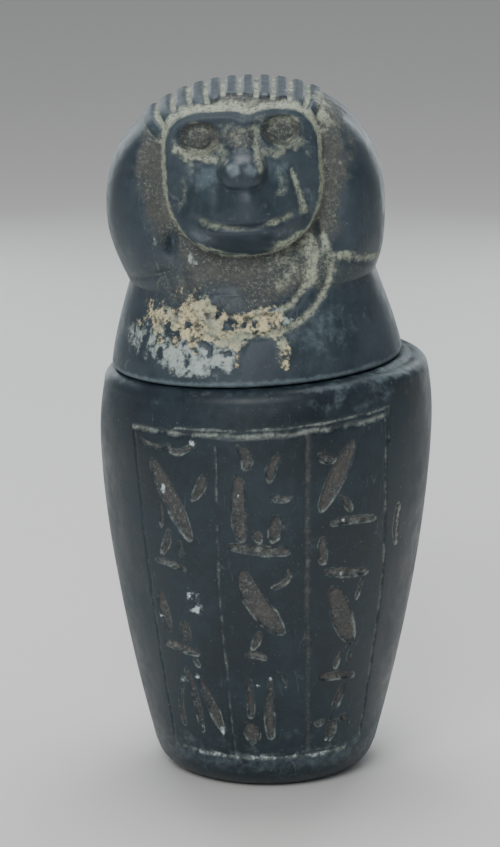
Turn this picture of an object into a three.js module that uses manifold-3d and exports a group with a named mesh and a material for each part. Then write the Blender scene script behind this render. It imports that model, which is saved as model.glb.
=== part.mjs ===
// A canopic jar of dark stone: a hollow jar, and a lid carved as the head and shoulders of a baboon.
// Millimetres, +Z up. The face looks along -Y and the foot stands on Z = 0.
import * as THREE from 'three';
import { mergeVertices } from 'three/addons/utils/BufferGeometryUtils.js';
import Module from 'manifold-3d';

const wasm = await Module();
wasm.setup();
const { degToRad, lerp, smoothstep } = THREE.MathUtils;
const fullTurn = 2 * Math.PI;

// The jar: outside
const footRadius = 28.5;
const footRound = 11;
const footRoundEnd = degToRad(-14);
const bodyRadius = 58.7;
const bodyWidestHeight = 125;
const waistRadius = 41.4;
const waistHeight = 16;
const bodyTaper = 1.6;
const wallStart = 9.2;
const rimRadius = 57;
const rimRound = 5;
const rimRoundStart = degToRad(18);
const seatHeight = 148.5;
const seatLean = degToRad(3.1);
const leanGrowth = 1.5;

// The jar: inside
const mouthRadius = 40;
const mouthRound = 0.8;
const floorRadius = 30;
const floorHeight = 16;
const floorRound = 8;

// The lid: its place and its plug
const lidOffset = -3.2;
const seatGap = 0.3;
const plugRadius = 35.6;
const plugDepth = 8;
const plugChamfer = 1.5;

// The lid: shoulders
const seatRadius = 51.2;
const seatRound = 1.6;
const notchHeight = 30.8;
const notchRadius = 42.8;
const notchFront = 41.5;
const notchBack = 40.8;
const shoulderFlare = 1.3;

// The lid: mane
const maneWidth = 48.6;
const maneFront = 38;
const maneBack = 43;
const maneMiddle = 56;
const maneTop = 98;
const maneLow = 55;
const domePower = 2.18;
const foreheadPower = 6;
const napePower = 2.3;
const flankShare = 0.62;
const lobe = { x: 38.5, halfWidth: 7, swell: 2.6, low: 34, lowFull: 46, highFull: 74, high: 88 };
const valley = { width: 6.5, depth: 3.6, power: 2.4, low: 33, lowFull: 42, highFull: 84, high: 94 };
const sway = { reach: -1, low: 34, lowFull: 52, highFull: 78, high: 96 };
const plan = { power: 2, maneExtra: 0.55, maneStart: 10 };
const topPlan = { frontExtra: 0.9, backExtra: -0.25, start: 70, end: 92 };
const reliefStart = 2;
const reliefFull = 9;

// The lid: ribs that fan over the crown
const ribCount = 11;
const ribLeft = degToRad(-44.5);
const ribRight = degToRad(34.5);
const ribRadius = 3.1;
const ribDepth = 1.9;
const ribStart = 0.955;
const ribSideDrop = 0.1;
const ribBackReach = 0.6;
const ribSides = 6;
const ribSteps = 8;
const ribFrontShares = [0, 0.4, 0.75, 0.93];
const ribBackSizes = [0.985, 0.94];

// The lid: face
const face = { x: -1.1, z: 70, halfWidth: 26.8, up: 24, down: 27.4, front: 39.2, back: -10 };
const faceCurve = { sideDrop: 4, sidePower: 2.4, topDrop: 3.2, topStart: 82, topEnd: 96 };
const browPower = 4.4;
const jawPower = 2.35;
const cheek = { z: 71.5, rise: 3.2, halfWidth: 8.5, halfHeight: 7 };
const brow = { halfWidth: 9.4, halfHeight: 7.2, rise: 1.3, width: 0.3, below: 2, above: 3 };
const muzzle = { z: 61, up: 24, down: 17.8, halfWidth: 22.5, front: 54.5, base: 33, blend: 3.4 };
const muzzlePower = { above: 2.6, below: 3.5, fall: 2.1, round: 0.72 };
const muzzleTaper = { top: 8.5, topStart: 58, topEnd: 84, chin: 1.5, chinStart: 54, chinEnd: 43 };
const bridge = { x: -0.9, halfWidth: 5, low: 74, high: 90, top: 38.2, rise: 12.5, fall: 5 };
const bridgeCurve = { power: 2.6, blend: 1.8 };
const bridgeEnd = { low: 56, high: 68, sink: 24 };
const nose = { x: -1.1, z: 73.7, halfWidth: 8.3, halfHeight: 7.3, front: 57.8, base: 46 };
const noseCurve = { power: 2.15, blend: 1.2 };
const eyes = [
  { x: -15, z: 84.3 },
  { x: 12.8, z: 85.7 },
];
const socket = { halfWidth: 7, halfHeight: 5.6, halfDepth: 3, front: 37.6 };
const eyeball = { radius: 4.6, front: 36 };
const mouth = { x: -1, z: 55.4, halfWidth: 17, rise: 3.6, power: 1.8, grooveRadius: 1.1 };

// The lid: chest and collar
const neck = { z: 36, depth: 1, halfWidth: 19, halfHeight: 5.5 };
const bib = { z: 28.5, rise: 1.8, halfWidth: 15, halfHeight: 7 };
const collar = { x: -1, z: 42, grooveRadius: 1.4, ends: degToRad(14) };
const collarGrooves = [
  { halfWidth: 28.5, drop: 25 },
  { halfWidth: 21, drop: 19.4 },
];

// Mesh steps
const jarColumns = 40;
const wallRows = 12;
const lidColumns = 40;
const lidFrontCrowding = 0.45;
const shoulderRows = 8;
const shoulderCrowding = 1.2;
const flankRows = 7;
const domeRows = 15;
const faceColumns = 42;
const faceRings = 11;
const ballColumns = 14;
const ballRows = 8;
const mouthSteps = 4;
const collarSteps = 9;
const grooveSides = 6;
const footSteps = 4;
const rimSteps = 4;
const mouthRimSteps = 2;
const floorSteps = 3;

const stone = () => new THREE.MeshStandardMaterial({ color: 0x3a444d, roughness: 0.42, metalness: 0 });

// 1 up to the first limit, falling to 0 at the second
function fadeOut(value, start, end) {
  return 1 - smoothstep(value, start, end);
}

// The larger of two heights, with the corner between them rounded
function blendMax(first, second, width) {
  return (first + second + Math.hypot(first - second, width)) / 2;
}

// A smooth mound, 1 at its middle, that fades over its half-width and half-height
function mound(x, z, { halfWidth, halfHeight }) {
  return Math.exp(-((x / halfWidth) ** 2) - (z / halfHeight) ** 2);
}

// Size of a point against an oval of a given power: 1 on the oval's edge
function ovalSize(x, z, power) {
  return (Math.abs(x) ** power + Math.abs(z) ** power) ** (1 / power);
}

// A geometry as one closed body, with the doubled points of its seam and poles joined
function toSolid(geometry) {
  geometry.deleteAttribute('normal');
  geometry.deleteAttribute('uv');
  const merged = mergeVertices(geometry);
  const corners = merged.index.array;
  const kept = [];
  for (let first = 0; first < corners.length; first += 3) {
    const [a, b, c] = corners.slice(first, first + 3);
    if (a !== b && b !== c && c !== a) {
      kept.push(a, b, c);
    }
  }
  const vertProperties = new Float32Array(merged.attributes.position.array);
  const triVerts = new Uint32Array(kept);
  return new wasm.Manifold(new wasm.Mesh({ numProp: 3, vertProperties, triVerts }));
}

// A named mesh from a finished solid
function toMesh(solid, name) {
  const { vertProperties, triVerts } = solid.getMesh();
  const geometry = new THREE.BufferGeometry();
  geometry.setAttribute('position', new THREE.BufferAttribute(vertProperties, 3));
  geometry.setIndex(new THREE.BufferAttribute(triVerts, 1));
  geometry.computeVertexNormals();
  const mesh = new THREE.Mesh(geometry, stone());
  mesh.name = name;
  return mesh;
}

// A round bar through a list of points
function bar(points, radius, sides, steps) {
  const section = new THREE.Shape();
  section.absarc(0, 0, radius, 0, fullTurn);
  const extrudePath = new THREE.CatmullRomCurve3(points);
  return toSolid(new THREE.ExtrudeGeometry(section, { extrudePath, steps, curveSegments: sides / 2 }));
}

// Points of a round stretch of a profile, from one angle to another
function arcPoints(middleX, middleZ, radius, from, to, steps) {
  const points = [];
  for (let step = 0; step <= steps; step++) {
    const angle = lerp(from, to, step / steps);
    points.push(new THREE.Vector2(middleX + radius * Math.cos(angle), middleZ + radius * Math.sin(angle)));
  }
  return points;
}

// Outer radius of the jar: widest near the top, with a rounded taper below
function jarRadiusAt(height) {
  if (height > bodyWidestHeight) {
    const above = (height - bodyWidestHeight) / (seatHeight - rimRound - bodyWidestHeight);
    return bodyRadius - (bodyRadius - rimRadius) * above ** 2;
  }
  const below = (bodyWidestHeight - height) / (bodyWidestHeight - waistHeight);
  return bodyRadius - (bodyRadius - waistRadius) * below ** bodyTaper;
}

// Foot, wall, rim, mouth and floor, from the axis round to the axis
function jarProfile() {
  const down = -Math.PI / 2;
  const up = Math.PI / 2;
  const wallEnd = seatHeight - rimRound;
  const points = [new THREE.Vector2(0, 0)];
  points.push(...arcPoints(footRadius, footRound, footRound, down, footRoundEnd, footSteps));
  for (let row = 0; row <= wallRows; row++) {
    const height = lerp(wallStart, wallEnd, row / wallRows);
    points.push(new THREE.Vector2(jarRadiusAt(height), height));
  }
  points.push(...arcPoints(rimRadius - rimRound, wallEnd, rimRound, rimRoundStart, up, rimSteps));
  const mouthMiddle = mouthRadius + mouthRound;
  points.push(...arcPoints(mouthMiddle, seatHeight - mouthRound, mouthRound, up, Math.PI, mouthRimSteps));
  const floorMiddle = floorRadius - floorRound;
  points.push(...arcPoints(floorMiddle, floorHeight + floorRound, floorRound, 0, down, floorSteps));
  points.push(new THREE.Vector2(0, floorHeight));
  return points;
}

// Each level of the jar slopes more, the higher it lies: the foot is level and the seat leans
function buildJar() {
  const geometry = new THREE.LatheGeometry(jarProfile(), jarColumns);
  geometry.rotateX(Math.PI / 2);
  const position = geometry.attributes.position;
  for (let index = 0; index < position.count; index++) {
    const height = position.getZ(index);
    const share = Math.max(height / seatHeight, 0) ** leanGrowth;
    position.setZ(index, height + position.getX(index) * Math.tan(seatLean) * share);
  }
  return toSolid(geometry);
}

// The lid's plain form at a height: half-width, depth in front and behind
function formAt(height) {
  if (height < notchHeight) {
    const share = (height / notchHeight) ** shoulderFlare;
    const edge = Math.max(1 - height / seatRound, 0);
    const pull = seatRound * (1 - Math.sqrt(1 - edge ** 2));
    return {
      width: lerp(seatRadius, notchRadius, share) - pull,
      front: lerp(seatRadius, notchFront, share) - pull,
      back: lerp(seatRadius, notchBack, share) - pull,
    };
  }
  if (height < maneMiddle) {
    const share = (height - notchHeight) / (maneMiddle - notchHeight);
    return {
      width: maneWidth * Math.sqrt(1 - ((maneMiddle - height) / maneLow) ** 2),
      front: lerp(notchFront, maneFront, smoothstep(share, 0, flankShare)),
      back: lerp(notchBack, maneBack, Math.sin((share * Math.PI) / 2)),
    };
  }
  const share = Math.min((height - maneMiddle) / (maneTop - maneMiddle), 1);
  return {
    width: maneWidth * (1 - share ** domePower) ** (1 / domePower),
    front: maneFront * (1 - share ** foreheadPower) ** (1 / foreheadPower),
    back: maneBack * (1 - share ** napePower) ** (1 / napePower),
  };
}

// The mane sways a little to the left of the shoulders and the crown
function swayAt(height) {
  return sway.reach * smoothstep(height, sway.low, sway.lowFull) * fadeOut(height, sway.highFull, sway.high);
}

// The plan is round at the seat and boxier up in the mane, most of all over the forehead
function planPower(height, inFront) {
  const boxy = plan.power + plan.maneExtra * smoothstep(height, plan.maneStart, maneMiddle);
  const extra = inFront ? topPlan.frontExtra : topPlan.backExtra;
  return boxy + extra * smoothstep(height, topPlan.start, topPlan.end);
}

// How far the plain form reaches forward at a point of the front view
function plainFront(x, z) {
  const form = formAt(z);
  const power = planPower(z, true);
  return form.front * Math.max(1 - Math.abs(x / form.width) ** power, 0) ** (1 / power);
}

function lidHeights() {
  const heights = [];
  for (let row = 0; row <= shoulderRows; row++) {
    heights.push(notchHeight * (row / shoulderRows) ** shoulderCrowding);
  }
  const lowest = Math.asin((maneMiddle - notchHeight) / maneLow);
  for (let row = 1; row <= flankRows; row++) {
    heights.push(maneMiddle - maneLow * Math.sin(lowest * (1 - row / flankRows)));
  }
  for (let row = 1; row <= domeRows; row++) {
    heights.push(lerp(maneMiddle, maneTop, Math.sin((row / domeRows) * (Math.PI / 2))));
  }
  return heights;
}

// Distance outside the face's outline
function faceEdgeDistance(x, z) {
  const up = z > face.z;
  const size = ovalSize(
    (x - face.x) / face.halfWidth,
    (z - face.z) / (up ? face.up : face.down),
    up ? browPower : jawPower,
  );
  return ((size - 1) * Math.hypot(x - face.x, z - face.z)) / Math.max(size, 0.001);
}

// Forward height of mane and chest: side lobes, a valley round the face, a neck and a bib
function frontHeight(x, z, plain) {
  const lobeSize = Math.exp(-(((Math.abs(x) - lobe.x) / lobe.halfWidth) ** 2));
  const lobeZone = smoothstep(z, lobe.low, lobe.lowFull) * fadeOut(z, lobe.highFull, lobe.high);
  const fromFace = Math.max(faceEdgeDistance(x, z), 0);
  const valleyZone = smoothstep(z, valley.low, valley.lowFull) * fadeOut(z, valley.highFull, valley.high);
  const dip = valley.depth * Math.exp(-((fromFace / valley.width) ** valley.power)) * valleyZone;
  const hollow = neck.depth * mound(x - collar.x, z - neck.z, neck);
  const swell = bib.rise * mound(x - collar.x, z - bib.z, bib);
  return plain + lobe.swell * lobeSize * lobeZone - dip - hollow + swell;
}

// Plug, shoulders and mane: an oval lathe whose front is pushed out and in
function buildBust() {
  const heights = lidHeights();
  const profile = [
    new THREE.Vector2(0, -plugDepth),
    new THREE.Vector2(plugRadius - plugChamfer, -plugDepth),
    new THREE.Vector2(plugRadius, plugChamfer - plugDepth),
    new THREE.Vector2(plugRadius, 0),
    ...heights.map((height) => new THREE.Vector2(formAt(height).width, height)),
  ];
  const geometry = new THREE.LatheGeometry(profile, lidColumns);
  geometry.rotateX(Math.PI / 2);
  const position = geometry.attributes.position;
  for (let index = 0; index < position.count; index++) {
    const turn = (Math.floor(index / profile.length) / lidColumns) * fullTurn;
    const around = turn - lidFrontCrowding * Math.sin(turn);
    const { x: width, y: height } = profile[index % profile.length];
    const onPlug = index % profile.length < profile.length - heights.length;
    const form = onPlug ? { width, front: width, back: width } : formAt(height);
    const inFront = Math.cos(around) > 0;
    const power = onPlug ? plan.power : planPower(height, inFront);
    const depth = inFront ? form.front : form.back;
    const size = ovalSize(Math.sin(around) / form.width, Math.cos(around) / depth, power);
    const reach = form.width > 0 ? 1 / size : 0;
    const x = reach * Math.sin(around) + swayAt(height);
    const forward = reach * Math.cos(around);
    const inRelief = onPlug ? 0 : smoothstep(forward, reliefStart, reliefFull);
    const push = (frontHeight(x, height, forward) - forward) * inRelief;
    position.setXYZ(index, x, -forward - push, height);
  }
  return toSolid(geometry);
}

// One rib of the crest, half sunk in the crown: up the forehead, over the top and down behind
function buildRib(angle) {
  const alongX = Math.sin(angle);
  const alongZ = Math.cos(angle);
  const sunk = (maneTop - maneMiddle - ribDepth) / (maneTop - maneMiddle);
  const reach = sunk / ovalSize(alongX / maneWidth, alongZ / (maneTop - maneMiddle), domePower);
  const pointAt = (size, side) => {
    const x = size * reach * alongX;
    const z = maneMiddle + size * reach * alongZ;
    const depth = plainFront(x / sunk, maneMiddle + (z - maneMiddle) / sunk) - ribDepth;
    return new THREE.Vector3(x, side * Math.max(depth, 0), z);
  };
  const start = ribStart - ribSideDrop * (angle / ribLeft) ** 2;
  const points = [
    ...ribFrontShares.map((share) => pointAt(lerp(start, 1, share), -1)),
    pointAt(1, 0),
    ...ribBackSizes.map((size) => pointAt(size, ribBackReach)),
  ];
  return bar(points, ribRadius, ribSides, ribSteps);
}

// Forward height of the face: plate, muzzle, bridge, nose and the brow over each eye
function faceHeight(x, z) {
  const across = Math.abs(x - face.x);
  const sideDrop = faceCurve.sideDrop * (across / face.halfWidth) ** faceCurve.sidePower;
  const topDrop = faceCurve.topDrop * smoothstep(z, faceCurve.topStart, faceCurve.topEnd);
  let height = face.front - sideDrop - topDrop;
  for (const eye of eyes) {
    height += cheek.rise * mound(x - eye.x, z - cheek.z, cheek);
    const browSize = Math.hypot((x - eye.x) / brow.halfWidth, (z - eye.z) / brow.halfHeight);
    const overEye = smoothstep(z, eye.z - brow.below, eye.z + brow.above);
    height += brow.rise * Math.exp(-(((browSize - 1) / brow.width) ** 2)) * overEye;
  }
  const topTaper = muzzleTaper.top * smoothstep(z, muzzleTaper.topStart, muzzleTaper.topEnd);
  const chinTaper = muzzleTaper.chin * fadeOut(z, muzzleTaper.chinEnd, muzzleTaper.chinStart);
  const half = muzzle.halfWidth - topTaper - chinTaper;
  const isAbove = z > muzzle.z;
  const rise = (z - muzzle.z) / (isAbove ? muzzle.up : muzzle.down);
  const size = Math.min(ovalSize(across / half, rise, isAbove ? muzzlePower.above : muzzlePower.below), 1);
  const snout = (1 - size ** muzzlePower.fall) ** muzzlePower.round;
  height = blendMax(height, lerp(muzzle.base, muzzle.front, snout), muzzle.blend);

  const bridgeSink = bridgeEnd.sink * fadeOut(z, bridgeEnd.low, bridgeEnd.high);
  const bridgeTop = bridge.top + bridge.rise * fadeOut(z, bridge.low, bridge.high) - bridgeSink;
  const bridgeSide = Math.min(Math.abs(x - bridge.x) / bridge.halfWidth, 2) ** bridgeCurve.power;
  height = blendMax(height, bridgeTop - bridge.fall * bridgeSide, bridgeCurve.blend);

  const padSize = ovalSize((x - nose.x) / nose.halfWidth, (z - nose.z) / nose.halfHeight, noseCurve.power);
  const pad = padSize < 1 ? lerp(nose.base, nose.front, Math.sqrt(1 - padSize ** 2)) : 0;
  return blendMax(height, pad, noseCurve.blend);
}

// The face's block: rings of its outline, raised in front and cut flat inside the head
function buildFaceBlock() {
  const profile = [new THREE.Vector2(0, face.back), new THREE.Vector2(1, face.back)];
  for (let ring = faceRings; ring >= 0; ring--) {
    profile.push(new THREE.Vector2(ring / faceRings, -face.front));
  }
  const geometry = new THREE.LatheGeometry(profile.reverse(), faceColumns);
  const position = geometry.attributes.position;
  for (let index = 0; index < position.count; index++) {
    const acrossShare = position.getX(index);
    const upShare = position.getZ(index);
    const share = Math.hypot(acrossShare, upShare);
    const up = upShare > 0;
    const size = ovalSize(
      acrossShare / face.halfWidth,
      upShare / (up ? face.up : face.down),
      up ? browPower : jawPower,
    );
    const reach = share > 0 ? share / size : 0;
    const x = face.x + reach * acrossShare;
    const z = face.z + reach * upShare;
    const buried = position.getY(index) > -face.front;
    position.setXYZ(index, x, buried ? face.back : -faceHeight(x, z), z);
  }
  return toSolid(geometry);
}

// An oval ball at a point, with its half-sizes
function ball(x, y, z, halfWidth, halfDepth, halfHeight) {
  const geometry = new THREE.SphereGeometry(1, ballColumns, ballRows);
  geometry.scale(halfWidth, halfDepth, halfHeight);
  geometry.translate(x, y, z);
  return toSolid(geometry);
}

// The mouth's groove: a smile that follows the muzzle's surface
function mouthGroove() {
  const points = [];
  for (let step = -mouthSteps; step <= mouthSteps; step++) {
    const share = step / mouthSteps;
    const x = mouth.x + share * mouth.halfWidth;
    const z = mouth.z + mouth.rise * Math.abs(share) ** mouth.power;
    points.push(new THREE.Vector3(x, -faceHeight(x, z), z));
  }
  return bar(points, mouth.grooveRadius, grooveSides, 4 * mouthSteps);
}

// One rounded U groove of the collar, on the chest's surface
function collarGroove(groove) {
  const points = [];
  for (let step = 0; step <= collarSteps; step++) {
    const angle = lerp(Math.PI + collar.ends, fullTurn - collar.ends, step / collarSteps);
    const x = collar.x + groove.halfWidth * Math.cos(angle);
    const z = collar.z + groove.drop * Math.sin(angle);
    points.push(new THREE.Vector3(x, -frontHeight(x, z, plainFront(x, z)), z));
  }
  return bar(points, collar.grooveRadius, grooveSides, 2 * collarSteps);
}

function buildLid() {
  const added = [buildBust(), buildFaceBlock()];
  for (let rib = 0; rib < ribCount; rib++) {
    added.push(buildRib(lerp(ribLeft, ribRight, rib / (ribCount - 1))));
  }
  const sockets = [];
  const eyeballs = [];
  for (const eye of eyes) {
    const { halfWidth, halfHeight, halfDepth, front } = socket;
    const { radius } = eyeball;
    sockets.push(ball(eye.x, -front, eye.z, halfWidth, halfDepth, halfHeight));
    eyeballs.push(ball(eye.x, radius - eyeball.front, eye.z, radius, radius, radius));
  }
  const cuts = [...sockets, mouthGroove(), ...collarGrooves.map(collarGroove)];
  const carved = wasm.Manifold.union(added).subtract(wasm.Manifold.union(cuts));
  return wasm.Manifold.union([carved, ...eyeballs]);
}

// The lid rests on the leaning seat, a little off the jar's middle
const seat = new THREE.Group();
seat.position.set(lidOffset, 0, seatHeight + seatGap + lidOffset * Math.tan(seatLean));
seat.rotation.y = -seatLean;
seat.add(toMesh(buildLid(), 'lid'));

const canopicJar = new THREE.Group();
canopicJar.add(toMesh(buildJar(), 'jar'), seat);

export default canopicJar;
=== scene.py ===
import math
import bpy
import numpy as np
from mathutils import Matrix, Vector


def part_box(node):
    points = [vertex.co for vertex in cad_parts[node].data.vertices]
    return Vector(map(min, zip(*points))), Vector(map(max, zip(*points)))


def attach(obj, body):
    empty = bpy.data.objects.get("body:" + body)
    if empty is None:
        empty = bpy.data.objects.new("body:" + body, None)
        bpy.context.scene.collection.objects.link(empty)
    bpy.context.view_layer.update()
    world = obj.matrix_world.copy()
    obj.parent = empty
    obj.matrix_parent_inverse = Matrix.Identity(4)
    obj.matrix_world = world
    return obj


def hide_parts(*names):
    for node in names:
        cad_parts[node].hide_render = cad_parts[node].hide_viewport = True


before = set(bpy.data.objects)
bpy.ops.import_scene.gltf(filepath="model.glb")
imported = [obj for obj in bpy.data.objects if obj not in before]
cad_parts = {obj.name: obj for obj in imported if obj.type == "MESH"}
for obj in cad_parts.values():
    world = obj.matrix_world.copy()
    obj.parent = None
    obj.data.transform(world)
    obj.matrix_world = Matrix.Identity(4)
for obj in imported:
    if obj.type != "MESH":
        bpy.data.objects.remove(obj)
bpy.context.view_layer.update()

# shapes are worked out in millimetres and made in metres; the face looks along -Y
millimetre = 0.001
jarHigh = np.array(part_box("jar")[1]) / millimetre

# 0 below low, 1 above high, smooth between; a low above the high falls instead
def softStep(low, high, value):
    share = np.clip((value - low) / (high - low), 0.0, 1.0)
    return share * share * (3.0 - 2.0 * share)

# a straight blend, first + (second - first) * share
def mixed(first, second, share):
    return first + (second - first) * share

# the larger of two heights, with the corner between them rounded over a width
def softMax(first, second, width):
    return 0.5 * (first + second + np.hypot(first - second, width))

# a smooth mound, exp(-(dx/width)^2 - (dz/height)^2)
def mound(x, z, middle, size):
    return np.exp(-((x - middle[0]) / size[0]) ** 2 - ((z - middle[1]) / size[1]) ** 2)

# size against an oval, (|x|^power + |z|^power)^(1/power): 1 on its edge
def ovalSize(x, z, power):
    return (np.abs(x) ** power + np.abs(z) ** power) ** (1.0 / power)

# a narrow ridge round a distance of zero, exp(-(distance/width)^2)
def ridge(distance, width):
    return np.exp(-(distance / width) ** 2)

# a quadratic curve from a start to an end, drawn towards a bend
def bentPath(start, bend, end, count=9):
    share = np.linspace(0.0, 1.0, count)[:, None]
    start, bend, end = (np.array(point, float) for point in (start, bend, end))
    return (1 - share) ** 2 * start + 2 * share * (1 - share) * bend + share ** 2 * end

# distance from every point to a path of straight steps, and the share of the path passed there
def pathDistance(x, z, points):
    nearest = np.full(x.shape, 1e9)
    passed = np.zeros(x.shape)
    steps = len(points) - 1
    for step in range(steps):
        startX, startZ = points[step]
        alongX, alongZ = points[step + 1][0] - startX, points[step + 1][1] - startZ
        share = ((x - startX) * alongX + (z - startZ) * alongZ) / (alongX ** 2 + alongZ ** 2 + 1e-9)
        share = np.clip(share, 0.0, 1.0)
        distance = np.hypot(x - startX - share * alongX, z - startZ - share * alongZ)
        closer = distance < nearest
        nearest = np.where(closer, distance, nearest)
        passed = np.where(closer, (step + share) / steps, passed)
    return nearest, passed

# 1 along a path, fading to 0 at both ends
def pathEnds(passed, first, last):
    return softStep(0.0, first, passed) * softStep(1.0, last, passed)

# smooth random values from -1 to 1: a seeded value at each corner of a cube grid, blended between
def latticeNoise(x, y, z, cell, seed):
    table = np.random.default_rng(seed).uniform(-1.0, 1.0, 4096)
    places = np.stack([x, y, z], -1) / cell + 500.0
    low = np.floor(places).astype(np.int64)
    share = places - low
    share = share * share * (3.0 - 2.0 * share)
    total = np.zeros(places.shape[:-1])
    for corner in range(8):
        offset = np.array([corner & 1, corner >> 1 & 1, corner >> 2 & 1])
        key = (low + offset) * np.array([7919, 104729, 1299709])
        key = key[..., 0] ^ key[..., 1] ^ key[..., 2]
        weight = np.prod(np.where(offset == 1, share, 1.0 - share), axis=-1)
        total += weight * table[(key ^ key >> 9) & 4095]
    return total

# noise at halving cell sizes, each layer half as strong, scaled back to about -1 to 1
def layeredNoise(x, y, z, cell, layers, seed):
    total = sum(latticeNoise(x, y, z, cell / 2 ** layer, seed + layer) / 2 ** layer
                for layer in range(layers))
    return total / (2.0 - 0.5 ** (layers - 1)) * 1.3

# positions from low to high, packed closer where the weight function is larger
def crowded(low, high, count, weight):
    fine = np.linspace(low, high, 4001)
    middle = 0.5 * (fine[1:] + fine[:-1])
    total = np.concatenate([[0.0], np.cumsum(weight(middle))])
    return np.interp(np.linspace(0.0, total[-1], count), total, fine)

# a closed skin from rows of points round an axis; the first and last rows are single points on it
def closedShell(name, x, y, z, masks):
    rows, columns = x.shape
    points = np.stack([x, y, z], -1) * millimetre
    points = np.concatenate([points[:1, 0], points[1:-1].reshape(-1, 3), points[-1:, 0]])
    row, column = np.meshgrid(np.arange(rows - 3), np.arange(columns), indexing="ij")
    following = (column + 1) % columns
    lower, upper = 1 + row * columns, 1 + (row + 1) * columns
    quads = np.stack([lower + column, lower + following, upper + following, upper + column], -1)
    quads = quads.reshape(-1, 4)
    around = np.arange(columns)
    nextRound = (around + 1) % columns
    lastRing = 1 + (rows - 3) * columns
    lastPoint = len(points) - 1
    firstFan = np.stack([np.zeros(columns, int), 1 + nextRound, 1 + around], -1)
    lastFan = np.stack([np.full(columns, lastPoint), lastRing + around, lastRing + nextRound], -1)
    mesh = bpy.data.meshes.new(name)
    mesh.from_pydata(points.tolist(), [], quads.tolist() + firstFan.tolist() + lastFan.tolist())
    mesh.polygons.foreach_set("use_smooth", np.ones(len(mesh.polygons), bool))
    for maskName, values in masks.items():
        values = np.clip(values, 0.0, 1.0)
        values = np.concatenate([values[:1, 0], values[1:-1].ravel(), values[-1:, 0]])
        attribute = mesh.attributes.new(maskName, "FLOAT", "POINT")
        attribute.data.foreach_set("value", values.astype(np.float32))
    mesh.update()
    shell = bpy.data.objects.new(name, mesh)
    bpy.context.scene.collection.objects.link(shell)
    return shell

# the jar: a hollow lathe form, with a framed panel of cut strokes on its front

jarSize = {
    "footRadius": 28.5, "footRound": 11.0, "footRoundEnd": -14.0,
    "widestHeight": 125.0, "waistRadius": 41.4, "waistHeight": 16.0, "taper": 1.6, "wallStart": 9.2,
    "rimRadius": 57.0, "rimRound": 5.0, "lean": math.radians(3.1), "leanGrowth": 1.5,
    "mouthRadius": 40.0, "mouthRound": 0.8, "floorRadius": 30.0, "floorHeight": 16.0, "floorRound": 8.0,
    "columns": 292, "frontColumns": math.radians(60), "sideDensity": 0.13,
    "footRows": 5, "footRoundRows": 14, "wallRows": 252, "rimRows": 10, "uneven": 0.16, "roughness": 0.34,
}
jarSize["radius"] = jarHigh[0]
jarSize["seatHeight"] = jarHigh[2] - (jarSize["rimRadius"] - jarSize["rimRound"]) * math.tan(jarSize["lean"])

# random surfaces as (cell size, layers, seed)
jarNoise = {
    "wobble": (7.0, 3, 11), "wobbleUp": (7.0, 3, 31), "pecks": (1.5, 2, 51), "chalk": (1.5, 3, 71),
    "uneven": (34.0, 2, 5), "ripple": (5.0, 2, 8), "chip": (2.5, 2, 15), "nicks": (4.5, 3, 21),
    "dusting": (8.0, 4, 41), "smears": (12.0, 5, 43), "pale": (3.0, 2, 61),
}
# wear and dirt on the wall, and a painted highlight along the rim's edge, stronger on the right, from 0 to 1
jarWearAndSheen = {
    "edge": (0.45, 0.9), "edgeLeft": 0.55, "dusting": (0.1, 0.62), "smears": (0.12, 0.62), "foot": 0.5,
    "chipDirt": 0.7, "chipLip": 0.8, "chipDepth": 0.55, "nickDepth": 0.35, "rightRimDrop": 1.2,
}

# the panel: heights in mm, sides in degrees round the wall from the middle of the front
panelSize = {
    "top": 134.8, "bottom": 13.2, "left": -50.0, "right": (45.0, 53.5),
    "signDepth": 1.15, "shake": 0.45, "peckDepth": 0.4,
    "levelPale": 0.42, "slopePale": 0.08, "lipPale": 0.42, "lipHighlightBelow": 0.3,
}

# cut strokes as (start, bend, end, width, swelling): places are mm along the wall and mm up,
# and a swelling of 1 gives a leaf, 0 an even bar
leftColumn = [
    ((-48.5, 129.6), (-43, 127.0), (-36, 129.0), 1.4, 0.1),
    ((-34.5, 127.2), (-31, 126.6), (-25.5, 130.2), 1.8, 0.3),
    ((-43.5, 123.2), (-36, 112), (-27.5, 96.0), 6.4, 0.8),
    ((-22.8, 119.5), (-22, 115.5), (-26.5, 110.5), 3.4, 0.9),
    ((-39.6, 108.0), (-38.6, 104), (-39.4, 99.0), 1.6, 0.8),
    ((-36.2, 97.5), (-37, 93), (-39.0, 89.5), 2.8, 0.5),
    ((-31.6, 94.5), (-31.0, 91), (-31.0, 88.5), 1.8, 0.5),
    ((-41.5, 85.8), (-36, 86.4), (-29.5, 84.4), 2.0, 0.3),
    ((-40.4, 74.5), (-39.6, 67), (-36.6, 59.5), 4.6, 0.8),
    ((-30.6, 64.0), (-30, 60), (-29.4, 56.5), 4.0, 0.7),
    ((-38.0, 54.8), (-33, 54.6), (-25.2, 52.6), 3.0, 0.4),
    ((-26.4, 50.4), (-25.4, 49), (-24.6, 47.4), 1.4, 0.6),
    ((-31.4, 41.5), (-34, 32), (-31.0, 23.4), 2.0, 0.3),
    ((-29.6, 45.6), (-25, 34), (-23.4, 22.6), 2.4, 0.3),
    ((-24.6, 42.6), (-19.5, 34), (-15.6, 23.0), 3.4, 0.8),
]
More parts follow.
